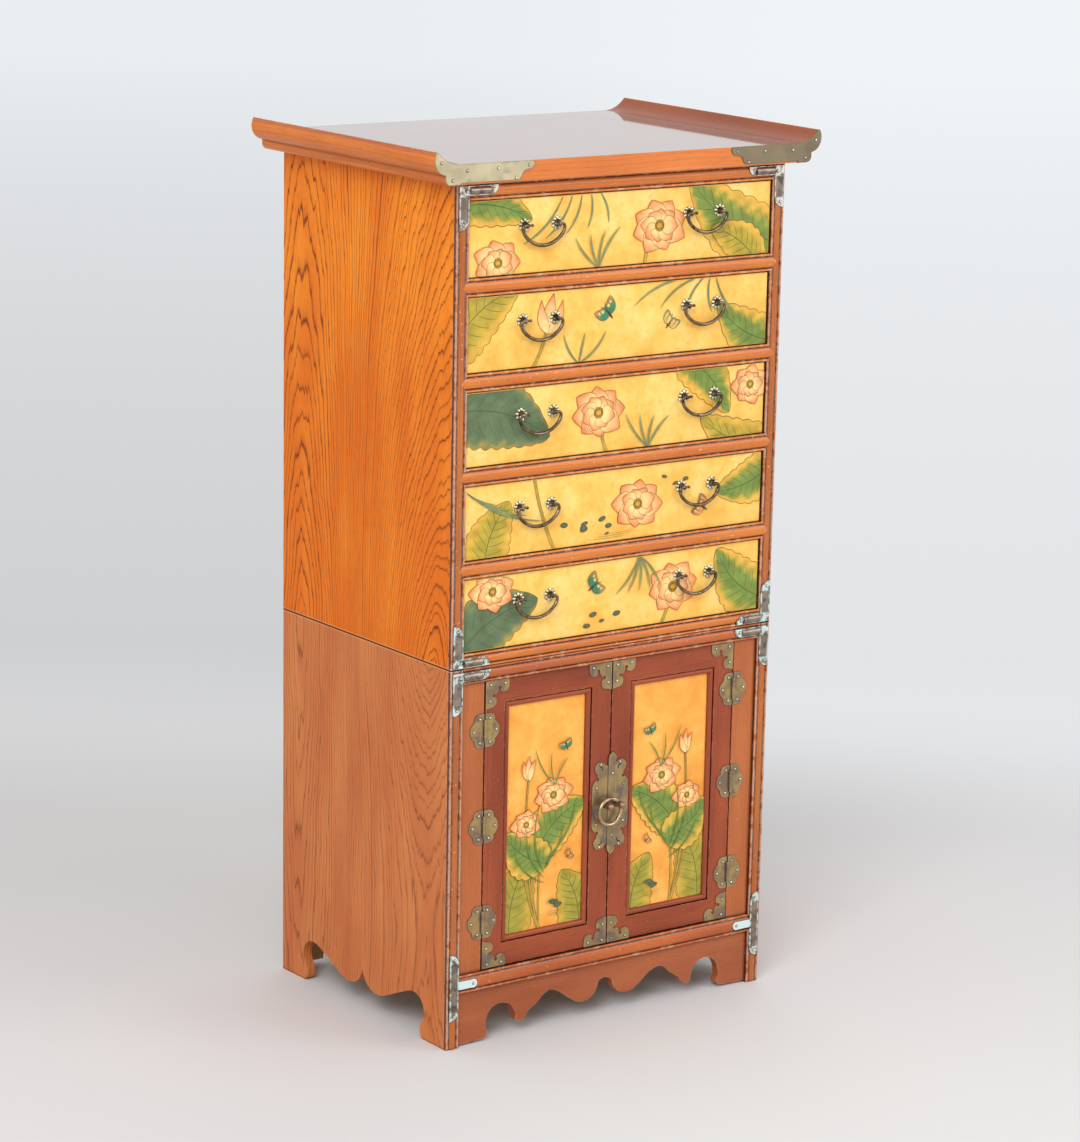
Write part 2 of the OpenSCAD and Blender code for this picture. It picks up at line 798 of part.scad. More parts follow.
strip_over = 2.25;
plate_gap = 0.2;
stud_foot_d = 13;
stud_foot_h = 1.2;
module stud(hole) {
  into_ball = 3;
  translate([mid_x - stud_x, 0, stud_z]) difference() {
    union() {
      translate([0, plate_y, 0]) rotate([90, 0, 0]) cylinder(d = stud_d, h = stud_out - into_ball - plate_t);
      translate([0, face_set - stud_out, 0]) sphere(r = stud_ball_r);
      translate([0, plate_y, 0]) rotate([90, 0, 0]) cylinder(d = stud_foot_d, h = stud_foot_h);
    }
    if (hole)
      translate([0, face_set - eye_out, 0]) rotate([0, ring_tilt, 0])
        cylinder(d = eye_d, h = 3 * stud_d, center = true);
  }
}
ring_tilt = 30;
lock_inner = mid_x - seam_gap / 2 - strip_over;
lock_outer = mid_x - 31;
lock_z = stud_z - 1.5;

// Nails of a lock half: on its straight side and on its lobes, from the middle of the lock
side_nail = [24, 27];
lobe_nail = [17, 61];
function lock_nails(s) = [
  for (n = [side_nail, lobe_nail], up = [-1, 1])
    [mid_x + s * n[0], lock_z + up * n[1]]
];

module door_left_frame() {
  color(wood_door) in_case() door_frame();
}

module door_left_panel() {
  color(paint) in_case() door_panel();
}

module door_left_plates() {
  w = lock_inner - plate_gap - lock_outer;
  color(brass) in_case() {
    corner_plates();
    translate([lock_outer + w, 0, lock_z]) mirror([1, 0, 0])
      plate(face_set, plate_t) lock_half(w);
    stud(false);
  }
}

module door_left_hinge_leaves() {
  color(brass) in_case() door_hinge_leaves();
}

module door_left_nails() {
  color(brass) in_case() {
    nails(corner_nails, plate_y);
    nails(lock_nails(-1), plate_y);
    for (z = hinge_list) nails(leaf_nails(1, z), plate_y);
  }
}

module door_right_frame() {
  color(wood_door) in_case() right() door_frame();
}

module door_right_panel() {
  color(paint) in_case() right() door_panel();
}

// The right half of the lock carries a raised strip that laps over the left door
strip_t = 1;
strip_w = 13.5;
strip_tip = [74, 77];
module strip_shape() {
  w = strip_w;
  for (s = [0, 1]) mirror([0, s]) let (z = strip_tip[1 - s]) {
    square([w, z - 17]);
    polygon(concat(
      [[0, 0], [w, 0]],
      bend([w, z - 17], [w - 3, z - 12], [w + 2, z - 10], [w - 1, z - 5]),
      bend([w - 1, z - 5], [w - 3, z - 1.5], [w / 2 + 1.5, z - 1], [w / 2, z]),
      bend([w / 2, z], [w / 2 - 1.5, z - 1], [3, z - 1.5], [1, z - 5]),
      bend([1, z - 5], [-1, z - 9], [0, z - 13], [0, z - 17])
    ));
  }
}

module door_right_plates() {
  color(brass) in_case() {
    right() corner_plates();
    translate([lock_inner, 0, lock_z]) {
      plate(face_set, plate_t) lock_half(case_w - lock_outer + 1 - lock_inner);
      difference() {
        plate(plate_y, strip_t) strip_shape();
        translate([mid_x + stud_x - lock_inner, 0, 1.5]) rotate([90, 0, 0])
          cylinder(d = stud_foot_d + plate_gap, h = 2 * stud_out, center = true);
      }
    }
    right() stud(true);
  }
}

module door_right_hinge_leaves() {
  color(brass) in_case() right() door_hinge_leaves();
}

module door_right_nails() {
  color(brass) in_case() {
    right() nails(corner_nails, plate_y);
    nails(lock_nails(1), plate_y);
    nails([for (up = [-1, 1]) [lock_inner + strip_w / 2, lock_z + up * 46]], plate_y - strip_t);
    right() for (z = hinge_list) nails(leaf_nails(1, z), plate_y);
  }
}

// Ring through the right stud, hanging round the left one
module ring_pull() {
  offset_r = ring_r - 0.3;
  color(dark_metal) in_case()
    translate([mid_x + stud_x, face_set - eye_out, stud_z]) rotate([0, -ring_tilt, 0])
      translate([-offset_r, 0, 0]) rotate([90, 0, 0]) rotate_extrude(start = 0, angle = 360)
        translate([ring_r, 0]) circle(d = ring_d);
}

// Drawers, counted from the top
function open_z(i) = first_open_z + (drawer_count - i) * pitch_z;

module drawer_front(i) {
  color(paint) in_case()
    translate([post_w + drawer_gap, drawer_set, open_z(i) + under_gap])
      cube([open_w - 2 * drawer_gap, front_t, open_h - under_gap - over_gap]);
}

module drawer_box(i) {
  x0 = post_w + drawer_gap;
  inside_w = case_w - 2 * (x0 + drawer_side_t);
  back = drawer_set + front_t + drawer_l - drawer_side_t;
  color(wood_pale) in_case() translate([0, 0, open_z(i)]) {
    both() translate([x0, drawer_set + front_t, 0])
      cube([drawer_side_t, drawer_l, drawer_side_h]);
    translate([x0 + drawer_side_t + glue, back, bottom_lift])
      cube([inside_w - 2 * glue, drawer_side_t, drawer_side_h - bottom_lift]);
    translate([x0 + drawer_side_t + glue, drawer_set + front_t, bottom_lift])
      cube([inside_w - 2 * glue, back - drawer_set - front_t - glue, drawer_bottom_t]);
  }
}

// Rosette with a post and an eye for the bow's end
module rosette() {
  petal_d = 6;
  petals = 8;
  eye_r = 3.4;
  eye_w = 5.2;
  difference() {
    union() {
      rotate([90, 0, 0]) {
        cylinder(d = rosette_d - petal_d / 2, h = 1.6);
        for (k = [0:petals - 1])
          rotate(360 / petals * k) translate([rosette_d / 2 - petal_d / 2, 0, 0])
            cylinder(d = petal_d, h = 2.2);
        cylinder(d = 5.6, h = pull_out);
      }
      translate([-eye_w / 2, -pull_out, 0]) rotate([0, 90, 0]) cylinder(r = eye_r, h = eye_w);
    }
    translate([-eye_w, -pull_out, 0]) rotate([0, 90, 0])
      cylinder(r = bow_pin_d / 2 + bow_fit, h = 2 * eye_w);
  }
}

module drawer_rosettes(i) {
  color(dark_metal) in_case() both()
    for (s = [-1, 1])
      translate([pull_x + s * pull_gap / 2, drawer_set, open_z(i) + pull_z]) rosette();
}

// Piece of round bar bent to radius r about the y axis, through angle b from angle a. Its ends
// stop short inside the balls that join the pieces.
module bar_arc(r, a, b) {
  cut = 0.2 / r * 180 / PI;
  rotate([90, 0, 0]) rotate_extrude(start = a + cut, angle = b - 2 * cut)
    translate([r, 0]) circle(d = bow_d);
}

// Bow: turned-in ends, tight bends at the sides and one flat arc below
module bow() {
  corner_r = 4;
  side_r = 14;
  end_x = 20;
  ball_d = bow_d + 0.2;
  half = (bow_w - ball_d) / 2;
  rise = bow_drop - bow_d / 2 - corner_r;
  c = half - side_r;
  low_r = (c * c + rise * rise - side_r * side_r) / (2 * (rise - side_r));
  turn = atan(c / (low_r - rise));
  for (s = [0, 1]) mirror([s, 0, 0]) {
    translate([end_x, 0, 0]) rotate([0, 90, 0])
      cylinder(d = bow_pin_d, h = half - corner_r - end_x + over);
    translate([end_x, 0, 0]) sphere(r = 2.2);
    translate([half - corner_r, 0, -corner_r]) bar_arc(corner_r, 0, 90);
    translate([half, 0, -corner_r]) sphere(d = ball_d);
    translate([c, 0, -corner_r]) bar_arc(side_r, turn - 90, 90 - turn);
    translate([c + side_r * sin(turn), 0, -corner_r - side_r * cos(turn)]) sphere(d = ball_d);
  }
  translate([0, 0, low_r - rise - corner_r]) bar_arc(low_r, -90 - turn, 2 * turn);
}

module bail(i, x) {
  color(dark_metal) in_case()
    translate([x, drawer_set - pull_out, open_z(i) + pull_z]) bow();
}

top_board();
scroll_end_left();
scroll_end_right();
top_corner_plates();
upper_side_left();
upper_side_right();
upper_back_panel();
upper_posts();
upper_rails();
drawer_runners();
upper_floor();
upper_corner_straps();
lower_side_left();
lower_side_right();
lower_back_panel();
lower_top_board();
cupboard_floor();
lower_posts();
lower_rails();
fixed_stiles();
front_apron();
lower_corner_straps();
case_hinge_leaves();
case_nails();
door_left_frame();
door_left_panel();
door_left_plates();
door_left_hinge_leaves();
door_left_nails();
door_right_frame();
door_right_panel();
door_right_plates();
door_right_hinge_leaves();
door_right_nails();
ring_pull();
drawer_front(1);  // drawer_front_1
drawer_box(1);  // drawer_box_1
drawer_rosettes(1);  // drawer_rosettes_1
bail(1, pull_x);  // bail_left_1
bail(1, case_w - pull_x);  // bail_right_1
drawer_front(2);  // drawer_front_2
drawer_box(2);  // drawer_box_2
drawer_rosettes(2);  // drawer_rosettes_2
bail(2, pull_x);  // bail_left_2
bail(2, case_w - pull_x);  // bail_right_2
drawer_front(3);  // drawer_front_3
drawer_box(3);  // drawer_box_3
drawer_rosettes(3);  // drawer_rosettes_3
bail(3, pull_x);  // bail_left_3
bail(3, case_w - pull_x);  // bail_right_3
drawer_front(4);  // drawer_front_4
drawer_box(4);  // drawer_box_4
drawer_rosettes(4);  // drawer_rosettes_4
bail(4, pull_x);  // bail_left_4
bail(4, case_w - pull_x);  // bail_right_4
drawer_front(5);  // drawer_front_5
drawer_box(5);  // drawer_box_5
drawer_rosettes(5);  // drawer_rosettes_5
bail(5, pull_x);  // bail_left_5
bail(5, case_w - pull_x);  // bail_right_5
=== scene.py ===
"""Chest of five drawers over a two-door cupboard: painted fronts, brass straps and bow pulls.

Laid out as an add-on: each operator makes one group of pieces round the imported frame.
Lengths in the shape functions are millimetres from the case's left front corner on the floor:
x to the right, y backwards, z up. They become metres only where a mesh is made.
"""

import json
import math

import bmesh
import bpy
import numpy as np
from bpy.props import FloatProperty, FloatVectorProperty, IntProperty, PointerProperty
from mathutils import Matrix, Vector

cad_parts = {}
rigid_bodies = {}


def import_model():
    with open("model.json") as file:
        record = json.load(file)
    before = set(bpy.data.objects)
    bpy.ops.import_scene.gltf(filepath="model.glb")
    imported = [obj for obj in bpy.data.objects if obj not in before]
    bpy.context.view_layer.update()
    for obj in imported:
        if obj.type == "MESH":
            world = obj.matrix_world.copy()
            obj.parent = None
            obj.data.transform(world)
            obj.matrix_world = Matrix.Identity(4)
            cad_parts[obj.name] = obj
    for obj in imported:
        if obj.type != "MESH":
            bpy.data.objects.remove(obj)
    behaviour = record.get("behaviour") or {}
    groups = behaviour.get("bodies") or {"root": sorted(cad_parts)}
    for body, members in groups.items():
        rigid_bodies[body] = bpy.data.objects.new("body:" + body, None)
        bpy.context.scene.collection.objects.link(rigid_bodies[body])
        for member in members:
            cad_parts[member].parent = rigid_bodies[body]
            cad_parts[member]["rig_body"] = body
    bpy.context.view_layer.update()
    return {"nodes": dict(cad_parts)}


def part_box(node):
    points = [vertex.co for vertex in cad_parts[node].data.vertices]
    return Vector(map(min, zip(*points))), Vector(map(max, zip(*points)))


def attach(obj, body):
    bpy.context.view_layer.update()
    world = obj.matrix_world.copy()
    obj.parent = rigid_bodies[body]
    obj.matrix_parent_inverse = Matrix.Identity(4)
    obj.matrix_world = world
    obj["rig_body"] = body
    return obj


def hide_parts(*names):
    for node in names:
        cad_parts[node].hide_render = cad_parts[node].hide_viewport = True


bl_info = {
    "name": "Painted chest of drawers",
    "version": (1, 0, 0),
    "blender": (4, 5, 0),
    "location": "3D View > Sidebar > Chest",
    "description": "Makes the finishes, painted fronts and metalwork of a chest of drawers",
    "category": "Object",
}

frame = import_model()
NODES = frame["nodes"]
MM = 0.001
DRAWERS = 5
GLUE = 0.05  # how far the posts stand behind the case's front plane, in mm
DOOR_MEMBER = 42.0  # width of a door frame's members
POSTS_APART = 54.0  # from one post of a bow to the other
BOW_AXIS = 1.6  # how far a bow's axis lies under its highest point
DIRT_AND_SHADE = "#1C0C06"  # dirt in the joint between the cases, and painted shade in gaps


def linear(code):
    """Linear colour with alpha from an sRGB hex code, a grey value or a linear colour."""
    if isinstance(code, str):
        raw = np.array([int(code[i : i + 2], 16) for i in (1, 3, 5)]) / 255
        code = np.where(raw <= 0.04045, raw / 12.92, ((raw + 0.055) / 1.055) ** 2.4)
    elif isinstance(code, float):
        code = (code,) * 3
    return tuple(code)[:3] + (1.0,)


def case_origin():
    """The case's left front corner on the floor, in metres, worked out from the posts."""
    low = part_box("lower_posts")[0]
    return np.array([low.x, low.y - GLUE * MM, 0.0])


ORIGIN = case_origin()


def node_box(name):
    """Lowest and highest corner of a node in millimetres from the case's corner."""
    low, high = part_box(name)
    return (np.array(low) - ORIGIN) / MM, (np.array(high) - ORIGIN) / MM


# Meshes


def grid_faces(rows, columns, start=0, closed=False):
    """Quads between neighbouring points of a rows x columns grid stored row by row; closed
    joins the last column to the first."""
    index = np.arange(rows * columns).reshape(rows, columns) + start
    if closed:
        index = np.hstack([index, index[:, :1]])
    quads = np.stack([index[:-1, :-1], index[:-1, 1:], index[1:, 1:], index[1:, :-1]], -1)
    return quads.reshape(-1, 4)


def mesh_piece(name, points, faces, materials, which=None, colours=None):
    """Mesh object from points in millimetres and quads; which gives each quad its material."""
    mesh = bpy.data.meshes.new(name)
    places = np.asarray(points, float) * MM + ORIGIN
    mesh.from_pydata(places.tolist(), [], np.asarray(faces).tolist())
    for material in materials:
        mesh.materials.append(material)
    if which is not None:
        mesh.polygons.foreach_set("material_index", np.asarray(which, np.int32))
    mesh.polygons.foreach_set("use_smooth", np.full(len(faces), True))
    if colours is not None:
        layer = mesh.attributes.new("paint", "FLOAT_COLOR", "POINT")
        rgba = np.hstack([colours, np.ones((len(colours), 1))]).astype(np.float32)
        layer.data.foreach_set("color", rgba.ravel())
    mesh.validate()
    mesh.update()
    piece = bpy.data.objects.new(name, mesh)
    bpy.context.scene.collection.objects.link(piece)
    return piece


def ride_for(piece, body, node):
    """Puts a finished piece on its body and hides the node it stands for."""
    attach(piece, body)
    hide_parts(node)


def dress(names, material):
    """Gives CAD nodes a finish through their material slots."""
    for name in names:
        node = NODES[name]
        if not node.material_slots:
            node.data.materials.append(material)
        for slot in node.material_slots:
            slot.material = material


# Material nodes


def put(tree, kind, inputs=None, stops=(), **settings):
    """Adds one node: inputs maps sockets to values, hex codes, nodes or outputs, stops are the
    (place, colour) pairs of a ramp, and the rest are the node's settings."""
    made = tree.nodes.new("ShaderNode" + kind)
    for key, value in settings.items():
        setattr(made, key, value)
    for key, value in (inputs or {}).items():
        if isinstance(value, bpy.types.Node):
            value = next(out for out in value.outputs if out.enabled)
        if isinstance(value, bpy.types.NodeSocket):
            tree.links.new(value, made.inputs[key])
        else:
            made.inputs[key].default_value = linear(value) if isinstance(value, str) else value
    for _ in stops[2:]:
        made.color_ramp.elements.new(0.5)
    for number, (position, colour) in enumerate(stops):
        made.color_ramp.elements[number].position = position
        made.color_ramp.elements[number].color = linear(colour)
    return made


def blank(name):
    """New material without nodes; gives it and its tree."""
    material = bpy.data.materials.new(name)
    material.use_nodes = True
    material.node_tree.nodes.clear()
    return material, material.node_tree


def shade(tree, **sockets):
    """Ends a tree with a Principled shader whose sockets are set or linked."""
    sockets = {key.replace("_", " "): value for key, value in sockets.items()}
    surface = put(tree, "BsdfPrincipled", sockets)
    put(tree, "OutputMaterial", {"Surface": surface})


def coats(tree, colour, *layers):
    """Lays colours over one another in order, each where its mask from 0 to 1 lets it show."""
    for mask, over in layers:
        colour = put(tree, "Mix", {0: mask, 6: colour, 7: over}, data_type="RGBA")
    return colour


def crevices(tree, reach, open_at, full_at):
    """0 on open faces, 1 in gaps and corners closer than the reach in metres."""
    near = put(tree, "AmbientOcclusion", {"Distance": reach}, samples=2)
    return put(tree, "MapRange", {0: near.outputs["AO"], 1: open_at, 2: full_at})


def edges(tree, radius, start, full, top=1.0):
    """0 on flat faces, up to top along edges, where a rounded normal leaves the flat one."""
    soft = put(tree, "Bevel", {0: radius}, samples=2)
    flat = put(tree, "NewGeometry").outputs["True Normal"]
    turn = put(tree, "VectorMath", {0: soft, 1: flat}, operation="DOT_PRODUCT")
    return put(tree, "MapRange", {0: turn, 1: start, 2: full, 4: top})


def facing(tree, axis, start, full, top=1.0):
    """0 to top as a face turns from one value of its normal along an axis to another."""
    normal = put(tree, "SeparateXYZ", {0: put(tree, "TexCoord").outputs["Normal"]})
    return put(tree, "MapRange", {0: normal.outputs[axis], 1: start, 2: full, 4: top})


def case_mm(tree, split, axis, zero=0.0):
    """Millimetres from a place along one axis, counted from the case's left front corner."""
    return put(tree, "Math", {0: split.outputs[axis], 1: 1 / MM, 2: -ORIGIN[axis] / MM - zero},
               operation="MULTIPLY_ADD")


def aside_mm(tree, split, axis, zero):
    """Distance to a place along one axis in millimetres, the same on both sides of it."""
    return put(tree, "Math", {0: case_mm(tree, split, axis, zero)}, operation="ABSOLUTE")


def grown(tree, place, cut):
    """Growth-ring field in millimetres: the distance to the heart of the trunk, which wanders
    over 100 mm and flames over 15 mm.

    One heart at (across u0 + lean t, depth g): f = sqrt((u - u0 - lean t)^2 + g^2) with
    g = g0 + s t + q t^2 and t the height over a turning point. A second heart on the far side
    continues the same field as K - f2, blended over the middle of the board.
    """
    along, across, depth = place
    wander = put(tree, "CombineXYZ", {0: along, 1: across, 2: depth})
    slow = put(tree, "VectorMath", {0: wander, 1: (0.006, 0.012, 0.012)}, operation="MULTIPLY")
    drift = put(tree, "TexNoise", {"Vector": slow, "Scale": 1.0, "Detail": 1.5, "W": cut["seed"]},
                noise_dimensions="4D")
    shift = put(tree, "MapRange", {0: drift, 3: -cut["wander"], 4: cut["wander"]})
    fields = []
    for u0, lean, g0, slope, bend, turn in cut["hearts"]:
        t = put(tree, "Math", {0: along, 1: turn}, operation="SUBTRACT")
        du = put(tree, "Math", {0: across, 1: u0}, operation="SUBTRACT")
        du = put(tree, "Math", {0: t, 1: -lean, 2: du}, operation="MULTIPLY_ADD")
        du = put(tree, "Math", {0: du, 1: shift}, operation="ADD")
        g = put(tree, "Math", {0: t, 1: bend, 2: slope}, operation="MULTIPLY_ADD")
        g = put(tree, "Math", {0: g, 1: t, 2: g0}, operation="MULTIPLY_ADD")
        g = put(tree, "Math", {0: g, 1: depth}, operation="ADD")
        g2 = put(tree, "Math", {0: g, 1: g}, operation="MULTIPLY")
        sum2 = put(tree, "Math", {0: du, 1: du, 2: g2}, operation="MULTIPLY_ADD")
        fields.append(put(tree, "Math", {0: sum2}, operation="SQRT"))
    field = fields[0]
    if len(fields) == 2:
        far = put(tree, "Math", {0: cut["join"], 1: fields[1]}, operation="SUBTRACT")
        low, high = cut["blend"]
        weight = put(tree, "MapRange", {0: across, 1: low, 2: high},
                     interpolation_type="SMOOTHSTEP")
        field = put(tree, "Mix", {0: weight, 2: field, 3: far}, data_type="FLOAT")
    flame = put(tree, "VectorMath", {0: wander, 1: cut["flame_scale"]}, operation="MULTIPLY")
    flames = put(tree, "TexNoise", {"Vector": flame, "Scale": 1.0, "Detail": 3.0,
                                    "Roughness": 0.55, "W": cut["seed"] + 3},
                 noise_dimensions="4D")
    wave = put(tree, "MapRange", {0: flames, 3: -cut["flame"], 4: cut["flame"]})
    return put(tree, "Math", {0: field, 1: wave}, operation="ADD"), wander


def growth_lines(tree, field, cut):
    """Late wood of each year: a sharp edge that fades into the next year's early wood. Years
    are cut["ring"] mm wide on average, and uneven in width and strength."""
    turns = put(tree, "Math", {0: field, 1: 1 / cut["ring"]}, operation="MULTIPLY")
    uneven = put(tree, "TexNoise", {"W": turns, "Scale": 0.35, "Detail": 1.0},
                 noise_dimensions="1D")
    turns = put(tree, "Math", {0: uneven, 1: cut["uneven"], 2: turns},
                operation="MULTIPLY_ADD")
    year = put(tree, "Math", {0: turns}, operation="FLOOR")
    phase = put(tree, "Math", {0: turns}, operation="FRACT")
    strength = put(tree, "TexWhiteNoise", {"W": year}, noise_dimensions="1D")
    strength = put(tree, "MapRange", {0: strength, 3: cut["weak"], 4: 1.0})
    line = put(tree, "ValToRGB", {0: phase}, [(0.0, 0.9), (0.04, 0.36), (0.18, 0.1), (0.45, 0.0),
                                              (0.87, 0.05), (0.955, 1.0)])
    late = put(tree, "Math", {0: line, 1: strength}, operation="MULTIPLY")
    return put(tree, "Math", {0: late, 1: cut["contrast"]}, operation="MULTIPLY")


def grain_places(tree, split, axes, second):
    """Along, across and depth in mm; second gives other axes and the mask where they hold."""
    sets = [[put(tree, "Math", {0: split.outputs[a], 1: sign / MM, 2: offset},
                 operation="MULTIPLY_ADD") for a, sign, offset in one]
            for one in [axes] + ([second[0]] if second else [])]
    if not second:
        return sets[0]
    mask = second[1](tree, split)
    return [put(tree, "Mix", {0: mask, 2: one, 3: two}, data_type="FLOAT")
            for one, two in zip(*sets)]


def groove_shade_and_highlight(tree, place, split, groove, bare):
    """Layers for a moulding: painted shade darkens its grooves, groove = (front, back,
    colour), and a painted highlight on their slopes shows as a thin pale line of dots 2 mm long."""
    front, back, colour = groove
    deep = put(tree, "MapRange", {0: case_mm(tree, split, 1), 1: front, 2: back},
               interpolation_type="SMOOTHSTEP")
    slope = put(tree, "ValToRGB", {0: deep}, [(0.3, 0.0), (0.5, 1.0), (0.75, 0.0)])
    dots = put(tree, "TexNoise", {"Vector": place, "Scale": 420.0, "Detail": 1.0})
    dots = put(tree, "MapRange", {0: dots, 1: 0.56, 2: 0.62, 4: 0.62})
    dots = put(tree, "Math", {0: slope, 1: dots}, operation="MULTIPLY")
    return (deep, colour), (dots, bare)


def rubbed_wood(tree, place, worn, specks):
    """Mask for bare wood: edges rubbed through in patches of 12 mm, and chips of up to 4 mm
    anywhere, a little larger than real ones so that they show."""
    patch = put(tree, "TexNoise", {"Vector": place, "Scale": 85.0, "Detail": 4.0,
                                   "Roughness": 0.65})
    patch = put(tree, "MapRange", {0: patch, 1: 0.62 - 0.22 * worn, 2: 0.68 - 0.2 * worn})
    edge = edges(tree, 0.0012, 0.985, 0.86)
    rub = put(tree, "Math", {0: edge, 1: patch}, operation="MULTIPLY")
    chip = put(tree, "TexNoise", {"Vector": place, "Scale": 260.0, "Detail": 2.0})
    chip = put(tree, "MapRange", {0: chip, 1: 0.74 - 0.06 * specks, 2: 0.76 - 0.06 * specks,
                                  4: min(1.0, specks)})
    return put(tree, "Math", {0: rub, 1: chip}, operation="MAXIMUM")


def wood(name, axes, cut, tones, specks=0.0, worn=0.0, groove=None, second=None, upper=None,
         seam=None, **shader):
    """Wood: growth rings with a sharp late-wood edge, pore streaks and broad toning.

    axes gives for along, across and depth the object axis, its sign and its offset in mm,
    cut how the piece lay in the trunk, as grown and growth_lines read it.
    tones are the early, warm and late colours, and the pale colour of bare worn wood.
    upper gives deeper early, warm and late colours for faces that look up, seam the height of
    the joint between the cases, where dirt has settled in a line. specks and worn say how much
    is chipped and rubbed through, groove is for groove_shade_and_highlight, which paints shade in
    a moulding's grooves and a highlight on their slopes, and second for grain_places.
    """
    material, tree = blank(name)
    place = put(tree, "TexCoord").outputs["Object"]
    split = put(tree, "SeparateXYZ", {0: place})
    where = grain_places(tree, split, axes, second)
    field, spot = grown(tree, where, cut)
    late = growth_lines(tree, field, cut)
    # pores: streaks under a millimetre wide and one to three centimetres long
    fine = put(tree, "VectorMath", {0: spot, 1: (0.055, 0.9, 0.9)}, operation="MULTIPLY")
    pores = put(tree, "TexNoise", {"Vector": fine, "Scale": 1.0, "Detail": 2.0, "Roughness": 0.6})
    pore = put(tree, "MapRange", {0: pores, 1: 0.52, 2: 0.72})
    streaks = put(tree, "Math", {0: pore, 1: cut["pores"]}, operation="MULTIPLY")
    # the tone drifts over 250 mm along the board and 50 mm across it
    broad = put(tree, "VectorMath", {0: spot, 1: (0.004, 0.02, 0.02)}, operation="MULTIPLY")
    tone = put(tree, "TexNoise", {"Vector": broad, "Scale": 1.0, "Detail": 2.0,
                                  "W": cut["seed"] + 7}, noise_dimensions="4D")
    tone = put(tree, "MapRange", {0: tone, 1: 0.3, 2: 0.7})
    if "deeper" in cut:
        high, low = cut["deeper"]
        sink = put(tree, "MapRange", {0: where[0], 1: high, 2: low, 4: 0.5})
        tone = put(tree, "Math", {0: tone, 1: sink}, operation="ADD", use_clamp=True)
    early, warm, dark, bare = [linear(c) for c in tones]
    if upper:
        looks_up = facing(tree, 2, 0.2, 0.7)
        early, warm, dark = [coats(tree, one, (looks_up, two))
                             for one, two in zip((early, warm, dark), upper)]
    base = coats(tree, early, (tone, warm), (late, dark), (streaks, dark))
    if groove:
        base = coats(tree, base, *groove_shade_and_highlight(tree, place, split, groove, bare))
    if worn or specks:
        base = coats(tree, base, (rubbed_wood(tree, place, worn, specks), bare))
    if seam:
        off = aside_mm(tree, split, 2, seam)
        pale = put(tree, "MapRange", {0: off, 1: 0.0, 2: 4.0})
        pale = put(tree, "ValToRGB", {0: pale}, [(0.25, 0.0), (0.45, 0.35), (0.8, 0.0)])
        line = put(tree, "MapRange", {0: off, 1: 1.3, 2: 0.6})
        base = coats(tree, base, (pale, bare), (line, DIRT_AND_SHADE))
    # painted shade darkens the gaps and the lines beside plates
    base = coats(tree, base, (crevices(tree, 0.004, 0.8, 0.25), DIRT_AND_SHADE))
    relief = put(tree, "Math", {0: late, 1: pore}, operation="ADD")
    bump = put(tree, "Bump", {"Strength": 0.25, "Distance": 0.00015, "Height": relief},
               invert=True)
    shade(tree, Base_Color=base, Normal=bump, **shader)
    return material


def aged_brass(name, tones, clouds, rim=0.5, rim_size=0.0008, painted_dark_flanks=False, parts=(),
               **shader):
    """Aged brass: broad clouds between two tones, a grey-purple stain in blots, round nails and
    in corners, and rims rubbed bright.

    tones are the light, middle, stained and rubbed colours, clouds the number of clouds to a
    metre, rim and rim_size how bright and wide the rims are. domed paints a dark reflection on a
    nail's flanks.
    parts are (mask, colour, is it metal) laid over the rest, masks made from tree and place.
    """
    material, tree = blank(name)
    place = put(tree, "TexCoord").outputs["Object"]
    light, mid, stain, rubbed = tones
    cloud = put(tree, "TexNoise", {"Vector": place, "Scale": clouds, "Detail": 2.0,
                                   "Distortion": 0.4})
    cloud = put(tree, "MapRange", {0: cloud, 1: 0.38, 2: 0.62})
    stain_and_shade = put(tree, "TexNoise", {"Vector": place, "Scale": clouds * 1.3, "Detail": 3.0,
                                  "W": 4.0}, noise_dimensions="4D")
    stain_and_shade = put(tree, "MapRange", {0: stain_and_shade, 1: 0.54, 2: 0.66, 4: 0.75})
    # the stain also darkens round nails and in corners, as patina and as painted shade
    stain_and_shade = put(tree, "Math", {0: stain_and_shade, 1: crevices(tree, 0.0035, 0.88, 0.5)}, operation="MAXIMUM")
    last = (facing(tree, 1, -0.92, -0.66, 0.85), stain) if painted_dark_flanks else (
        edges(tree, rim_size, 0.985, 0.85, rim), rubbed)
    base = coats(tree, mid, (cloud, light), (stain_and_shade, stain), last)
    metal = shader.pop("Metallic")
    for mask, colour, is_metal in parts:
        where = mask(tree, place)
        base = coats(tree, base, (where, colour))
        if not is_metal:
            metal = put(tree, "Mix", {0: where, 2: metal, 3: 0.0}, data_type="FLOAT")
    # fine scratches make the gloss uneven, drawn 1.7 mm apart so that they show
    fine = put(tree, "TexNoise", {"Vector": place, "Scale": 600.0, "Detail": 2.0})
    rough = shader.pop("Roughness")
    rough = put(tree, "MapRange", {0: fine, 1: 0.3, 2: 0.7, 3: rough - 0.05, 4: rough + 0.08})
    bump = put(tree, "Bump", {"Strength": 0.15, "Distance": 0.0002, "Height": cloud})
    shade(tree, Base_Color=base, Metallic=metal, Roughness=rough, Normal=bump, **shader)
    return material


def standing_out(front, full):
    """Mask for parts in front of a plane: 0 at y = front, 1 at y = full, in millimetres."""
    def mask(tree, place):
        split = put(tree, "SeparateXYZ", {0: place})
        return put(tree, "MapRange", {0: case_mm(tree, split, 1), 1: front, 2: full})
    return mask


def to_the_right(start, full):
    """Mask for the right end of a row of plates: 0 at x = start, most at x = full, in mm."""
    def mask(tree, place):
        split = put(tree, "SeparateXYZ", {0: place})
        return put(tree, "MapRange", {0: case_mm(tree, split, 0), 1: start, 2: full, 4: 0.8})
    return mask


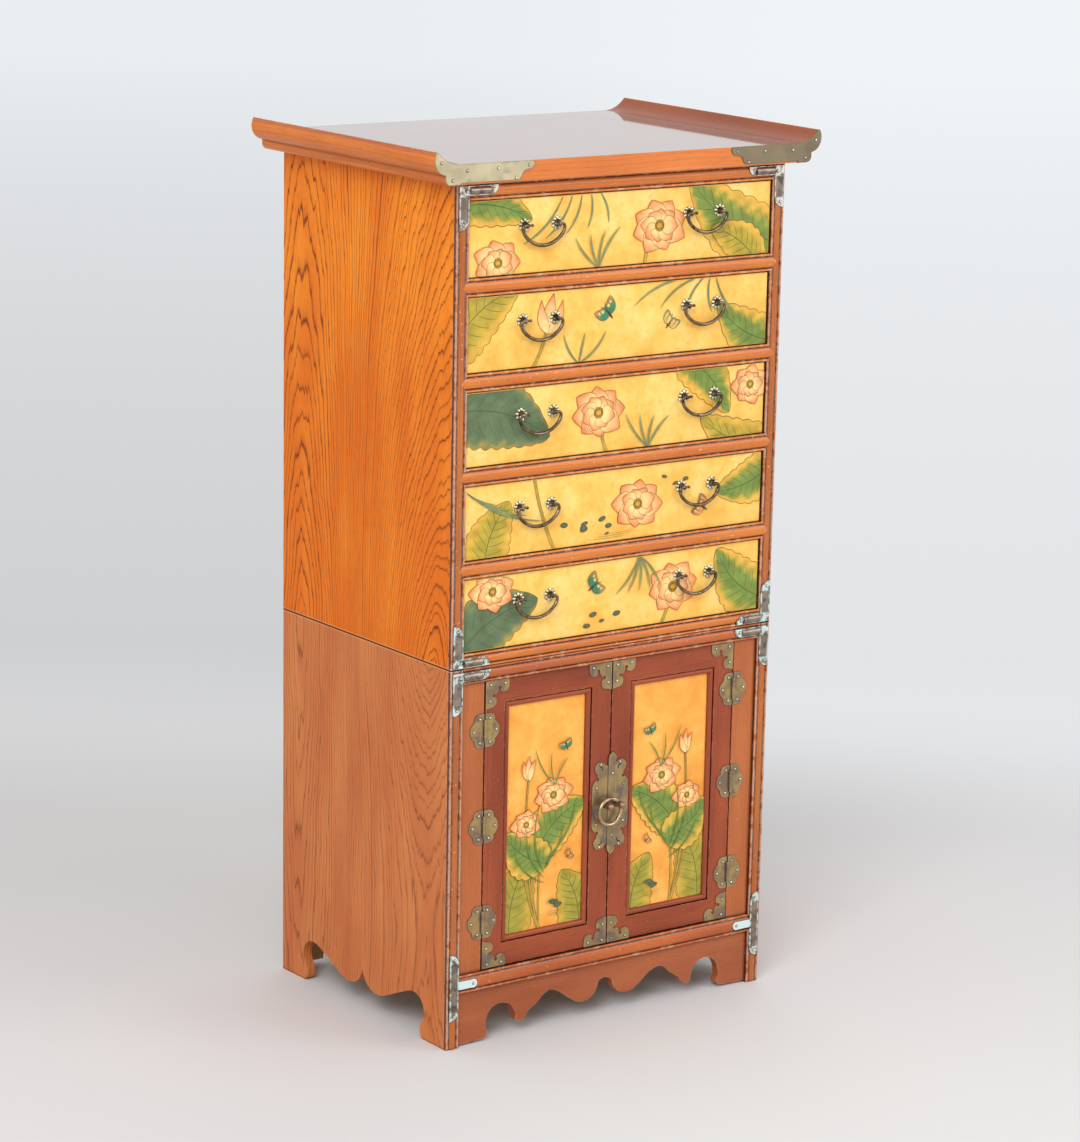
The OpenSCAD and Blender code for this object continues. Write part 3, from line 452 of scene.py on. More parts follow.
def bloom(ridge, low, high):
    """Mask for spots of 10 mm on the flat of a strap, none on its ridge, between two heights
    in mm."""
    def mask(tree, place):
        split = put(tree, "SeparateXYZ", {0: place})
        spots = put(tree, "TexNoise", {"Vector": place, "Scale": 95.0, "Detail": 4.0,
                                       "Roughness": 0.65})
        spots = put(tree, "MapRange", {0: spots, 1: 0.44, 2: 0.54, 4: 0.9})
        flat = put(tree, "MapRange", {0: case_mm(tree, split, 1), 1: ridge - 0.5, 2: ridge})
        spots = put(tree, "Math", {0: spots, 1: flat}, operation="MULTIPLY")
        off = aside_mm(tree, split, 2, (low + high) / 2)
        within = put(tree, "Math", {0: off, 1: (high - low) / 2}, operation="LESS_THAN")
        return put(tree, "Math", {0: spots, 1: within}, operation="MULTIPLY")
    return mask


def tongues(inset, height):
    """Mask for the tongues of the lowest straps: all that lies below a height and further than
    inset from the case's sides, in mm."""
    def mask(tree, place):
        split = put(tree, "SeparateXYZ", {0: place})
        half = node_box("lower_posts")[1][0] / 2
        aside = aside_mm(tree, split, 0, half)
        inner = put(tree, "Math", {0: aside, 1: half - inset}, operation="LESS_THAN")
        low = put(tree, "Math", {0: case_mm(tree, split, 2), 1: height}, operation="LESS_THAN")
        return put(tree, "Math", {0: inner, 1: low}, operation="MULTIPLY")
    return mask


def painted_ground(name, tones, **shader):
    """Gold-yellow ground rubbed on by hand: clouds of three tones and small dabs of a fourth at
    5 to 40 mm, with painted shade in the gap beside a frame."""
    material, tree = blank(name)
    pale, mid, deep, dab = tones
    place = put(tree, "TexCoord").outputs["Object"]
    cloud = put(tree, "TexNoise", {"Vector": place, "Scale": 22.0, "Detail": 5.0,
                                   "Roughness": 0.62})
    base = put(tree, "ValToRGB", {0: cloud}, [(0.32, deep), (0.48, mid), (0.66, pale)])
    small = put(tree, "TexNoise", {"Vector": place, "Scale": 130.0, "Detail": 3.0,
                                   "Roughness": 0.6})
    small = put(tree, "MapRange", {0: small, 1: 0.55, 2: 0.75, 4: 0.45})
    # painted shade darkens the ground in the gap beside the frame
    base = coats(tree, base, (small, dab), (crevices(tree, 0.003, 0.42, 0.15), "#2A1408"))
    shade(tree, Base_Color=base, **shader)
    return material


# Painted design


OCHRE_LEAF = ("#B9A23C", "#D0A93C", "#E2B24A")
DARK_LEAF = ("#647654", "#748658", "#C99A3A")
DRY_LEAF = ("#A89B3C", "#BBA53E", "#D2A840")
GRASS = ("#4E7A3C", "#7E8E42")
ORANGE_WINGS = ("#E9A05A", "#C7683A", "#1F5E57")
ASPECT = 0.8  # an open blossom is seen a little from the side


def toward(angle, squash=1.0):
    """Unit step at an angle, its height times squash."""
    return np.array([math.cos(angle), math.sin(angle) * squash])


def pulled(a, b, c, n=24):
    """n points of the parabola (1 - t)^2 a + 2 t (1 - t) b + t^2 c, pulled towards b."""
    t = np.linspace(0, 1, n)[:, None]
    return (1 - t) ** 2 * a + 2 * t * (1 - t) * b + t * t * c


def bent(root, tip, bend, n):
    """n points of a parabola from root to tip, its middle pulled aside by bend lengths."""
    along = tip - root
    return pulled(root, (root + tip) / 2 + bend * np.array([-along[1], along[0]]), tip, n)


def on_spine(root, tip, u, v, half, bow):
    """Points root + u (tip - root) + (v half + bow length sin(pi u)) side of a flat shape."""
    along = tip - root
    length = np.linalg.norm(along)
    side = np.array([-along[1], along[0]]) / length
    aside = v * half + bow * length * np.sin(np.pi * u)
    return root + u[..., None] * along + aside[..., None] * side


class Canvas:
    """Collects flat painted shapes as layers of a mesh, in millimetres on a front's face."""

    layer_height = 0.012  # one layer of paint over the one before

    def __init__(self, low, high, face_y, seed, flip=False):
        self.low, self.high, self.y, self.flip = low, high, face_y, flip
        self.points, self.faces, self.colours = [], [], []
        self.count, self.layer = 0, 1
        self.random = np.random.default_rng(seed)

    def at(self, u, v):
        """Place at shares of the front's width and height, from the right where flipped."""
        return self.low + (1 - u if self.flip else u, v) * (self.high - self.low)

    def lay(self, spots, faces, colours):
        """Adds a shape: its points are cut off at the border, faces outside are left out."""
        outside = (spots < self.low).any(1) | (spots > self.high).any(1)
        faces = faces[~outside[faces].all(1)]
        spots = np.clip(spots, self.low, self.high)
        y = np.full(len(spots), self.y - self.layer_height * self.layer)
        self.points.append(np.stack([spots[:, 0], y, spots[:, 1]], 1))
        self.faces.append(faces + self.count)
        self.colours.append(np.clip(colours, 0, 1))
        self.count += len(spots)
        self.layer += 1

    def tint(self, spots, codes, weights):
        """Mixes colours by weights and clouds them with waves, so no shape is one flat tone."""
        tones = np.array([linear(c)[:3] for c in codes])
        colour = tones[0] * np.ones((len(spots), 1))
        for tone, weight in zip(tones[1:], weights):
            weight = np.clip(weight, 0, 1).reshape(-1, 1)
            colour = colour * (1 - weight) + tone * weight
        a, b, c = self.random.uniform(0.05, 0.16, 3)
        cloud = np.sin(spots[:, 0] * a + 3 * np.sin(spots[:, 1] * b)) * np.sin(spots[:, 1] * c * 2)
        return colour * (1 + 0.1 * cloud[:, None])

    def stroke(self, line, width, codes, taper=1.0):
        """Brush line: points p_i -+ w_i n_i, w_i = width (1 - taper) + taper width
        sin(pi u)^0.6, so it swells in the middle and thins out at both ends."""
        tangent = np.gradient(line, axis=0)
        tangent /= np.linalg.norm(tangent, axis=1, keepdims=True) + 1e-9
        normal = np.stack([-tangent[:, 1], tangent[:, 0]], 1)
        u = np.linspace(0, 1, len(line))
        half = width / 2 * (1 - taper + taper * np.sin(np.pi * u) ** 0.6)[:, None]
        spots = np.stack([line - half * normal, line + half * normal], 1).reshape(-1, 2)
        weights = [np.repeat(u, 2)] * (len(codes) - 1)
        self.lay(spots, grid_faces(len(line), 2), self.tint(spots, codes, weights))

    def outline(self, edge, width=0.7, code="#6B4A2A"):
        """Ink line round a closed edge."""
        self.stroke(np.vstack([edge, edge[:2]]), width, [code], taper=0.25)

    def petal(self, base, tip, width, bow=0.0, codes=("#FDD48C", "#FCBA6C", "#EE5C30"),
              cut=0.36, blunt=1.0):
        """Petal: half width w(u) = width/2 sin(pi u^0.75)^blunt about a bowed spine; codes
        colour its ground, its rim, and its tip from the share cut of its length on."""
        u, v = np.meshgrid(np.linspace(0, 1, 18), np.linspace(-1, 1, 9), indexing="ij")
        half = width / 2 * np.sin(np.pi * u ** 0.75) ** blunt
        spots = on_spine(base, tip, u, v, half, bow)
        glow = np.clip((u - cut) / (1 - cut), 0, 1) ** 1.4 * (0.75 + 0.25 * np.abs(v))
        rim = np.clip(u - 0.2, 0, 1) * v ** 2
        flat = spots.reshape(-1, 2)
        self.lay(flat, grid_faces(*u.shape), self.tint(flat, codes, [rim, glow]))
        self.outline(np.vstack([spots[:, 0], spots[::-1, -1]]), code="#8A5A34")

    def blossom(self, centre, size, turn, petals=7):
        """Open blossom: two rounds of petals, the inner one shorter, round a heart."""
        for ring, (reach, wide) in enumerate([(1.0, 0.76), (0.66, 0.56)]):
            for k in range(petals):
                out = reach * size * (1 + 0.08 * self.random.uniform(-1, 1))
                out = out * toward(turn + 2 * math.pi * (k + ring / 2) / petals, ASPECT)
                self.petal(centre + 0.1 * out, centre + out, wide * size,
                           bow=0.05 * self.random.uniform(-1, 1), blunt=0.8)
        self.disc(centre, size * 0.17, ("#D9A93C", "#B98A2E"), ink=True)
        for k in range(9):
            spot = centre + size * 0.13 * toward(turn + 2 * math.pi * k / 9, ASPECT)
            self.disc(spot, size * 0.035, ["#8A5E22"] * 2)

    def disc(self, centre, radius, codes, ink=False, squash=1.0, turn=0.0):
        """Oval patch with half axes radius and squash radius, toned from its heart outwards."""
        a = np.linspace(0, 2 * math.pi, 40, endpoint=False)
        r = np.linspace(0.02, 1, 6)
        x = r[:, None] * (radius * np.cos(a))
        z = r[:, None] * (radius * squash * np.sin(a))
        c, s = toward(turn)
        spots = np.stack([x * c - z * s, x * s + z * c], -1) + centre
        flat = spots.reshape(-1, 2)
        colour = self.tint(flat, codes, [np.repeat(r ** 2, len(a))])
        self.lay(flat, grid_faces(len(r), len(a), closed=True), colour)
        if ink:
            self.outline(spots[-1])

    def leaf(self, root, tip, width, bow, lobes, codes=("#7C9042", "#B8A642", "#EBB44C"),
             depth=0.4):
        """Broad leaf: half width w(u) = width/2 sin(pi u^0.7)^0.65 (0.95 + 0.1 |sin(lobes pi
        u)|) about a bowed spine; green at the midrib, turning to ochre at the frilled edge."""
        u, v = np.meshgrid(np.linspace(0, 1, 60), np.linspace(-1, 1, 15), indexing="ij")
        half = width / 2 * np.sin(np.pi * u ** 0.7) ** 0.65
        half = half * (0.95 + 0.1 * np.abs(np.sin(lobes * np.pi * u)))
        spots = on_spine(root, tip, u, v, half, bow)
        flat = spots.reshape(-1, 2)
        wobble = 0.14 * np.sin(flat[:, 0] * 0.21) * np.sin(flat[:, 1] * 0.26 + 1)
        out = np.abs(v.ravel()) + wobble - depth
        colour = self.tint(flat, codes, [out / 0.3, (out - 0.22) / 0.28])
        self.lay(flat, grid_faces(*u.shape), colour)
        last, rib = len(u) - 1, 7
        self.stroke(spots[1:-4, rib], 1.1, ["#41582F"], taper=0.7)
        for k in range(5, 52, 6):
            for edge in (2, 12):
                vein = pulled(spots[k, rib], spots[min(k + 3, last), (rib + edge) // 2],
                              spots[min(k + 8, last), edge], 10)
                self.stroke(vein, 0.7, ["#4C5E30"], taper=0.8)
        self.outline(np.vstack([spots[:, 0], spots[::-1, -1]]), 0.8, "#7A5A2C")

    def blade(self, root, tip, bend, width=3.4, codes=("#6F8462", "#93985A")):
        """Slender leaf of grass: a brush line along a parabola."""
        self.stroke(bent(root, tip, bend, 26), width, codes)

    def stem(self, root, tip, bend, width=4.0):
        """Ochre stem with small dots, edged in ink."""
        line = bent(root, tip, bend, 30)
        self.stroke(line, width + 1.2, ["#8A6A30"], taper=0.0)
        self.stroke(line, width, ("#C9A644", "#B4983E"), taper=0.0)
        for spot in line[2:-2:2]:
            self.disc(spot + self.random.uniform(-0.8, 0.8, 2), 0.45, ["#8A6A30"] * 2)

    def butterfly(self, centre, size, turn, codes=("#2E8A66", "#1F5E57", "#D9913A")):
        """Butterfly: two large and two small wings about a dark body with feelers."""
        for angle, reach, wide in [(0.75, 1.0, 0.62), (-0.55, 0.72, 0.5)]:
            for side in (1, -1):
                out = toward(turn + side * angle) * size * reach
                self.petal(centre, centre + out, size * wide, 0.06 * side, codes, 0.45, 0.7)
                self.disc(centre + out * 0.66, size * 0.09, ("#F3D27A", "#E8B450"))
        back = toward(turn + math.pi) * size
        body = np.linspace(centre + back * 0.35, centre - back * 0.4, 12)
        self.stroke(body, size * 0.13, ["#4A3420"])
        for side in (1, -1):
            end = centre + toward(turn + side * 0.28) * size * 0.85
            self.stroke(pulled(centre, centre - back * 0.5, end, 12), 0.6, ["#4A3420"])

    def pebbles(self, centre, spread, number):
        """Scattered dark oval pebbles."""
        for _ in range(number):
            spot = centre + self.random.uniform(-1, 1, 2) * spread
            self.disc(spot, self.random.uniform(3, 7.5), ("#5E7454", "#3F5648"), ink=True,
                      squash=self.random.uniform(0.4, 0.6), turn=self.random.uniform(-0.3, 0.4))

    def ripples(self, centre, reach):
        """Three light ink waves."""
        for k in range(3):
            start = centre - (reach * (0.5 + 0.1 * k), 3.4 * k)
            wave = pulled(start, start + (reach * 0.5, -3 + k), start + (reach, 0.6))
            self.stroke(wave, 0.6, ["#B07A3A"])

    def made(self):
        """All layers as points, faces and colours."""
        return np.vstack(self.points), np.vstack(self.faces), np.vstack(self.colours)


def drawer_design(canvas, number):
    """Plants and small things for one drawer front, laid out anew on every drawer."""
    at = canvas.at
    if number == 1:
        canvas.leaf(at(1.06, 0.1), at(0.72, 1.12), 96, 0.1, 8)
        canvas.leaf(at(0.98, -0.25), at(0.80, 0.42), 62, -0.1, 7, OCHRE_LEAF)
        canvas.leaf(at(-0.05, 0.95), at(0.2, 0.72), 58, 0.08, 7)
        for k in range(5):
            canvas.blade(at(0.3 + 0.03 * k, 1.02), at(0.17 + 0.07 * k, 0.38 + 0.05 * k), 0.2)
        canvas.stem(at(0.57, -0.1), at(0.61, 0.5), 0.1)
        canvas.blossom(at(0.62, 0.5), 47, 0.3, 8)
        canvas.blossom(at(0.09, 0.16), 40, 0.9)
        for k in range(4):
            canvas.blade(at(0.42, -0.02), at(0.34 + 0.05 * k, 0.42 + 0.04 * k), 0.14)
    elif number == 2:
        canvas.leaf(at(-0.06, 0.2), at(0.16, 1.1), 84, 0.12, 8, OCHRE_LEAF)
        canvas.leaf(at(1.05, 0.0), at(0.83, 0.6), 70, 0.1, 7)
        canvas.stem(at(0.2, -0.1), at(0.26, 0.62), -0.12)
        for u, v, width, bow in [(0.275, 0.98, 22, 0.05), (0.235, 0.9, 16, 0.1),
                                 (0.305, 0.88, 16, -0.1)]:
            canvas.petal(at(0.26, 0.42), at(u, v), width, bow)
        canvas.butterfly(at(0.46, 0.62), 26, 2.3)
        canvas.butterfly(at(0.66, 0.4), 21, 0.9, ("#E9C46A", "#2E8A66", "#1F5E57"))
        for k in range(5):
            canvas.blade(at(0.82 - 0.02 * k, 1.02), at(0.9 - 0.09 * k, 0.45 + 0.06 * k), -0.2)
        for k in range(3):
            canvas.blade(at(0.36, -0.02), at(0.31 + 0.07 * k, 0.4), 0.2 - 0.2 * k)
    elif number == 3:
        canvas.leaf(at(-0.08, 0.75), at(0.27, 0.3), 104, 0.1, 10, DARK_LEAF, 0.62)
        canvas.leaf(at(0.7, 1.25), at(0.88, 0.35), 70, 0.1, 8)
        canvas.leaf(at(1.06, -0.2), at(0.78, 0.32), 66, 0.1, 8, OCHRE_LEAF)
        canvas.stem(at(0.47, -0.12), at(0.44, 0.5), 0.15)
        canvas.blossom(at(0.43, 0.55), 46, 0.1, 8)
        canvas.blossom(at(0.95, 0.72), 36, 0.5)
        for k in range(4):
            canvas.blade(at(0.6, -0.02), at(0.52 + 0.05 * k, 0.5 - 0.03 * k), 0.12)
    elif number == 4:
        canvas.leaf(at(0.06, -0.3), at(0.14, 0.75), 74, 0.1, 8, OCHRE_LEAF)
        canvas.leaf(at(1.06, 0.9), at(0.84, 0.5), 66, 0.1, 8)
        canvas.stem(at(0.3, -0.1), at(0.22, 1.1), 0.08)
        canvas.pebbles(at(0.4, 0.22), (42, 12), 7)
        canvas.pebbles(at(0.7, 0.76), (26, 10), 4)
        canvas.blossom(at(0.57, 0.48), 44, 0.7, 8)
        canvas.butterfly(at(0.8, 0.3), 22, 2.6, ORANGE_WINGS)
        canvas.ripples(at(0.5, 0.12), 70)
        for k in range(4):
            canvas.blade(at(0.0, 0.95), at(0.1 + 0.05 * k, 0.72 - 0.1 * k), -0.15)
    else:
        canvas.leaf(at(-0.04, -0.15), at(0.24, 0.62), 92, 0.1, 9, DARK_LEAF, 0.6)
        canvas.leaf(at(1.05, 0.1), at(0.85, 0.95), 82, 0.12, 8)
        canvas.stem(at(0.66, -0.1), at(0.72, 0.45), 0.12)
        canvas.blossom(at(0.7, 0.5), 46, 0.2, 8)
        canvas.blossom(at(0.09, 0.8), 38, 0.4)
        canvas.pebbles(at(0.46, 0.2), (30, 9), 4)
        canvas.butterfly(at(0.42, 0.66), 24, 0.6)
        for k in range(5):
            canvas.blade(at(0.58, 1.02), at(0.5 + 0.04 * k, 0.5), 0.16)


def door_design(canvas):
    """Tall bunch of plants for a door panel, turned over sideways on a flipped canvas."""
    at, turn = canvas.at, -1 if canvas.flip else 1
    canvas.leaf(at(0.06, -0.06), at(0.34, 0.34), 78, 0.1 * turn, 9, DRY_LEAF)
    canvas.leaf(at(0.98, -0.06), at(0.74, 0.24), 72, -0.1 * turn, 8, DRY_LEAF)
    for u, v in [(0.36, 0.5), (0.62, 0.62), (0.2, 0.44), (0.28, 0.67)]:
        canvas.stem(at(0.45, -0.02), at(u, v), 0.1 * turn, 2.0)
    canvas.leaf(at(0.38, 0.34), at(1.02, 0.54), 74, 0.1 * turn, 8)
    canvas.leaf(at(0.54, 0.28), at(-0.02, 0.44), 66, 0.1 * turn, 7)
    canvas.blossom(at(0.6, 0.58), 33, 0.2, 8)
    canvas.blossom(at(0.25, 0.47), 27, 0.5)
    for k in range(6):
        bend = 0.24 * turn * (1 if k < 3 else -1)
        canvas.blade(at(0.5, 0.2 + 0.02 * k), at(0.1 + 0.16 * k, 0.36 + 0.09 * (k % 3)), bend,
                     2.6, GRASS)
    for k in range(3):
        canvas.blade(at(0.62, 0.62), at(0.35 + 0.22 * k, 0.8 - 0.03 * k), 0.15 * turn, 2.2, GRASS)
    for k in range(3):
        canvas.petal(at(0.28, 0.66), at(0.2 + 0.08 * k, 0.75 + 0.02 * (k == 1)), 10, 0.06)
    canvas.butterfly(at(0.76, 0.78), 15, 1.9)
    canvas.butterfly(at(0.8, 0.3), 11, 0.6, ORANGE_WINGS)
    canvas.pebbles(at(0.68, 0.1), (14, 5), 4)
    canvas.ripples(at(0.68, 0.07), 34)


# Solid pieces


def board(low, high, radius):
    """Closed board with rounded edges: a cube grid pushed out by
    p = c + clamp(q, inner) + radius unit(q - clamp(q, inner))."""
    rows = 4  # of points across half a rounded edge
    half, middle = (high - low) / 2, (high + low) / 2
    inner = half - radius
    rounding = radius * np.sin(np.linspace(0, math.pi / 2, rows))
    ticks = [np.concatenate([-(i + rounding)[::-1], i + rounding]) for i in inner]
    points, faces, count = [], [], 0
    for k in range(3):
        i, j = (k + 1) % 3, (k + 2) % 3
        a, b = np.meshgrid(ticks[i], ticks[j], indexing="ij")
        for sign in (-1, 1):
            q = np.empty(a.shape + (3,))
            q[..., i], q[..., j], q[..., k] = a, b, sign * half[k]
            core = np.clip(q, -inner, inner)
            out = q - core
            length = np.linalg.norm(out, axis=-1, keepdims=True)
            p = core + out / np.maximum(length, 1e-9) * np.minimum(length, radius)
            points.append(p.reshape(-1, 3) + middle)
            quads = grid_faces(*a.shape, start=count)
            faces.append(quads[:, ::-1] if sign < 0 else quads)
            count += a.size
    return np.vstack(points), np.vstack(faces)


def arc(x, z, radius, start, end, n):
    """n points of a circle about (x, z) from one angle to another, in degrees."""
    a = np.radians(np.linspace(start, end, n))
    return np.stack([x + radius * np.cos(a), z + radius * np.sin(a)], 1)


def bow_path(drop, width):
    """Middle line of a bow from right to left: tight bends of 4 mm at the ends, side bends of
    14 mm and one flat arc below that meets them smoothly."""
    corner, side, half = 4.0, 14.0, width / 2
    c, rise = half - side, drop - corner
    low = (c * c + rise * rise - side * side) / (2 * (rise - side))
    turn = math.degrees(math.atan2(c, low - rise))
    right = np.vstack([arc(half - corner, -corner, corner, 90, 0, 8),
                       arc(c, -corner, side, 0, turn - 90, 12)[1:],
                       arc(0, low - rise - corner, low, turn - 90, -90, 12)[1:]])
    return np.vstack([right, right[-2::-1] * (-1, 1)])


def tube(path, radius, sides):
    """Round bar carried along a path in a plane across y: point (i, t) = path_i + radius_i
    (cos t y + sin t m_i), where m_i is the tangent crossed with y."""
    t = np.linspace(0, 2 * math.pi, sides, endpoint=False)[:, None]
    y = np.array([0.0, 1.0, 0.0])
    side = np.cross(np.gradient(path, axis=0), y)
    side /= np.linalg.norm(side, axis=1, keepdims=True)
    return path[:, None] + radius[:, None, None] * (np.cos(t) * y + np.sin(t) * side[:, None])


def turned(profile, sides, centre):
    """Surface of revolution about y from the points (r, y) of a profile."""
    a = np.linspace(0, 2 * math.pi, sides, endpoint=False)
    r, y = np.array(profile, float).T[..., None]
    return np.stack([r * np.cos(a), y + 0 * a, r * np.sin(a)], -1) + centre


def barrel(radius, half_long, power, sides, centre):
    """Barrel about x: radius 0.02 + radius sin(s)^power at x = -half_long cos(s)."""
    s = np.linspace(0, math.pi, 9)
    profile = np.stack([0.02 + radius * np.sin(s) ** power, -half_long * np.cos(s)], 1)
    return turned(profile, sides, (0, 0, 0))[..., [1, 0, 2]] + centre


class Gather:
    """Joins several grids, each closed from its last column to its first, into one mesh."""

    def __init__(self):
        self.points, self.faces, self.which, self.count = [], [], [], 0

    def add(self, spots, index=0, turn=False):
        """Adds a grid of points with a material index; turn flips its faces."""
        faces = grid_faces(*spots.shape[:2], self.count, closed=True)
        self.faces.append(faces[:, ::-1] if turn else faces)
        self.points.append(spots.reshape(-1, 3))
        self.which.append(np.full(len(faces), index))
        self.count += len(self.points[-1])

    def piece(self, name, materials):
        """Makes the mesh object and merges the doubled points along its seams."""
        piece = mesh_piece(name, np.vstack(self.points), np.vstack(self.faces), materials,
                           np.concatenate(self.which))
        data = bmesh.new()
        data.from_mesh(piece.data)
        bmesh.ops.remove_doubles(data, verts=data.verts, dist=1e-6)
        data.to_mesh(piece.data)
        data.free()
        return piece


# Settings


class ChestSizes(bpy.types.PropertyGroup):
    """Sizes that a user would change."""

    front_rounding: FloatProperty(
        name="Front rounding", description="Radius of the edges of drawer fronts",
        default=0.0012, min=0.0003, max=0.004, unit="LENGTH")
    bow_thickness: FloatProperty(
        name="Bow thickness", description="Thickness of a bow pull at its middle",
        default=0.0052, min=0.003, max=0.006, unit="LENGTH")
    design_seed: IntProperty(
        name="Design variant", description="Picks another scatter of the painted design",
        default=4, min=0, max=99)


class ChestColours(bpy.types.PropertyGroup):
    """Colours that a user would change."""

    side: FloatVectorProperty(
        name="Side boards", description="Early wood of the upper side boards",
        default=linear("#FA9226")[:3], subtype="COLOR", min=0, max=1)
    frame: FloatVectorProperty(
        name="Posts", description="Early wood of the front posts",
        default=linear("#C87434")[:3], subtype="COLOR", min=0, max=1)
    door: FloatVectorProperty(
        name="Door frames", description="Early wood of the door frames",
        default=linear("#AE5430")[:3], subtype="COLOR", min=0, max=1)


class ChestOperator(bpy.types.Operator):
    """Shared by the operators: undo is possible."""

    bl_options = {"REGISTER", "UNDO"}


# Woodwork


def grain(along, across, depth):
    """Object axis, sign and offset in mm of the grain's along, across and depth directions, from
    (axis, sign, place of zero in mm from the case's corner)."""
    return [(a, s, -s * (zero + ORIGIN[a] / MM)) for a, s, zero in (along, across, depth)]


# Grain that runs up, to the right and backwards
UPRIGHT = grain((2, 1, 0), (0, 1, 0), (1, 1, 0))
LEVEL = grain((0, 1, 0), (2, 1, 0), (1, 1, 0))
INWARD = grain((1, 1, 0), (2, 1, 0), (0, 1, 0))


def straight(seed, ring=3.2, contrast=0.5):
    """Nearly straight grain for narrow pieces: one heart far beside the piece."""
    return {"hearts": [(-60, 0.0, 30, 0.012, 0.0, 0)], "ring": ring, "seed": seed, "wander": 9,
            "flame": 2.2, "flame_scale": (0.008, 0.09, 0.09), "contrast": contrast,
            "pores": 0.3, "uneven": 2.0, "weak": 0.35}


class CHEST_OT_sides(ChestOperator):
    """Side boards with strong cathedral figure at both edges and straight grain between"""

    bl_idname = "chest.sides"
    bl_label = "Side boards"

    def execute(self, context):
        # elm boards under a thin worn lacquer: broad dark growth lines on orange, a low sheen
        lacquer = {"Roughness": 0.48, "IOR": 1.5, "Specular_IOR_Level": 0.14}
        upper = {"hearts": [(50, 0.0, 60, 0.12, -0.00005, 850), (385, 0.1, 3, 0.3, -0.0001, 500)],
                 "join": 462, "blend": (130, 310), "ring": 5.8, "seed": 1.0, "wander": 12,
                 "flame": 5.4, "flame_scale": (0.004, 0.07, 0.03), "pores": 0.36, "uneven": 1.6,
                 "weak": 0.55, "contrast": 1.15, "deeper": (1060, 640)}
        lower = {"hearts": [(46, 0.0, 24, -0.07, 0.0, 300), (374, 0.0, 100, 0.0, -0.0005, 150)],
                 "join": 378, "blend": (110, 285), "ring": 5.8, "seed": 5.0, "wander": 12,
                 "flame": 7.0, "flame_scale": (0.004, 0.075, 0.03), "pores": 0.3, "uneven": 1.6,
                 "weak": 0.5, "contrast": 0.9}
        upper_tones = (context.scene.chest_colours.side, "#E47218", "#7C3206", "#EDBB82")
        lower_tones = ("#D5844A", "#C46C3C", "#7E3E20", "#E8BE94")
        joint, rear = node_box("upper_side_left")[0][2], node_box("upper_side_left")[1][1]
        wide = node_box("upper_side_right")[1][0]
        for case, cut, tones in (("upper", upper, upper_tones), ("lower", lower, lower_tones)):
            for side, outer, sign, other in (("left", 0.0, 1, 0.0), ("right", wide, -1, 1.3)):
                name = f"{case}_side_{side}"
                axes = grain((2, 1, 0), (1, -1, rear), (0, sign, outer))
                grown_in = dict(cut, seed=cut["seed"] + other)
                dress([name], wood("lacquered_elm_" + name, axes, grown_in, tones, specks=0.1,
                                   worn=0.5, seam=joint, **lacquer))
        return {"FINISHED"}


class CHEST_OT_frame(ChestOperator):
    """Moulded posts and rails, fixed strips and apron in red-brown lacquer, edges rubbed"""

    bl_idname = "chest.frame"
    bl_label = "Posts, rails and apron"

    def execute(self, context):
        # planed wood under red-brown lacquer: fine straight grain and soft highlights, painted
        # shade in the grooves of a moulding with a painted highlight of pale dots on their slopes,
        # and pale where its edges are rubbed through
        lacquer = {"Roughness": 0.36, "IOR": 1.5, "Specular_IOR_Level": 0.25,
                   "Coat_Weight": 0.25, "Coat_Roughness": 0.14}
        grooved = {"groove": (0.9, 2.3, "#5E260C")}
        early = context.scene.chest_colours.frame
        for name, nodes, axes, cut, tones, wear in (
            ("posts", ["upper_posts", "lower_posts"], UPRIGHT, straight(11),
             (early, "#AC5A26", "#743610", "#F4DCC8"),
             dict(grooved, specks=0.6, worn=1.0, seam=node_box("upper_posts")[0][2])),
            ("rails", ["upper_rails"], LEVEL, straight(12),
             ("#E28436", "#CC6C26", "#7A3A12", "#FADCB0"), dict(grooved, specks=0.5, worn=0.45)),
            ("lower_rails", ["lower_rails"], LEVEL, straight(15),
             ("#CC6C34", "#AE5424", "#6C2C10", "#F4CCA0"), dict(grooved, specks=0.5, worn=0.45)),
            ("fixed_strips", ["fixed_stiles"], UPRIGHT, straight(13, 4.0, 0.35),
             ("#C46E3A", "#A8582A", "#743618", "#E8C8A4"), {"specks": 0.3, "worn": 0.4}),
            ("apron", ["front_apron"], LEVEL, straight(14, 4.0, 0.4),
             ("#B4643A", "#9A4E2A", "#6E3418", "#E8C8A4"), {"specks": 0.3, "worn": 0.9}),
        ):
            dress(nodes, wood("lacquered_wood_" + name, axes, cut, tones, **wear, **lacquer))
        return {"FINISHED"}


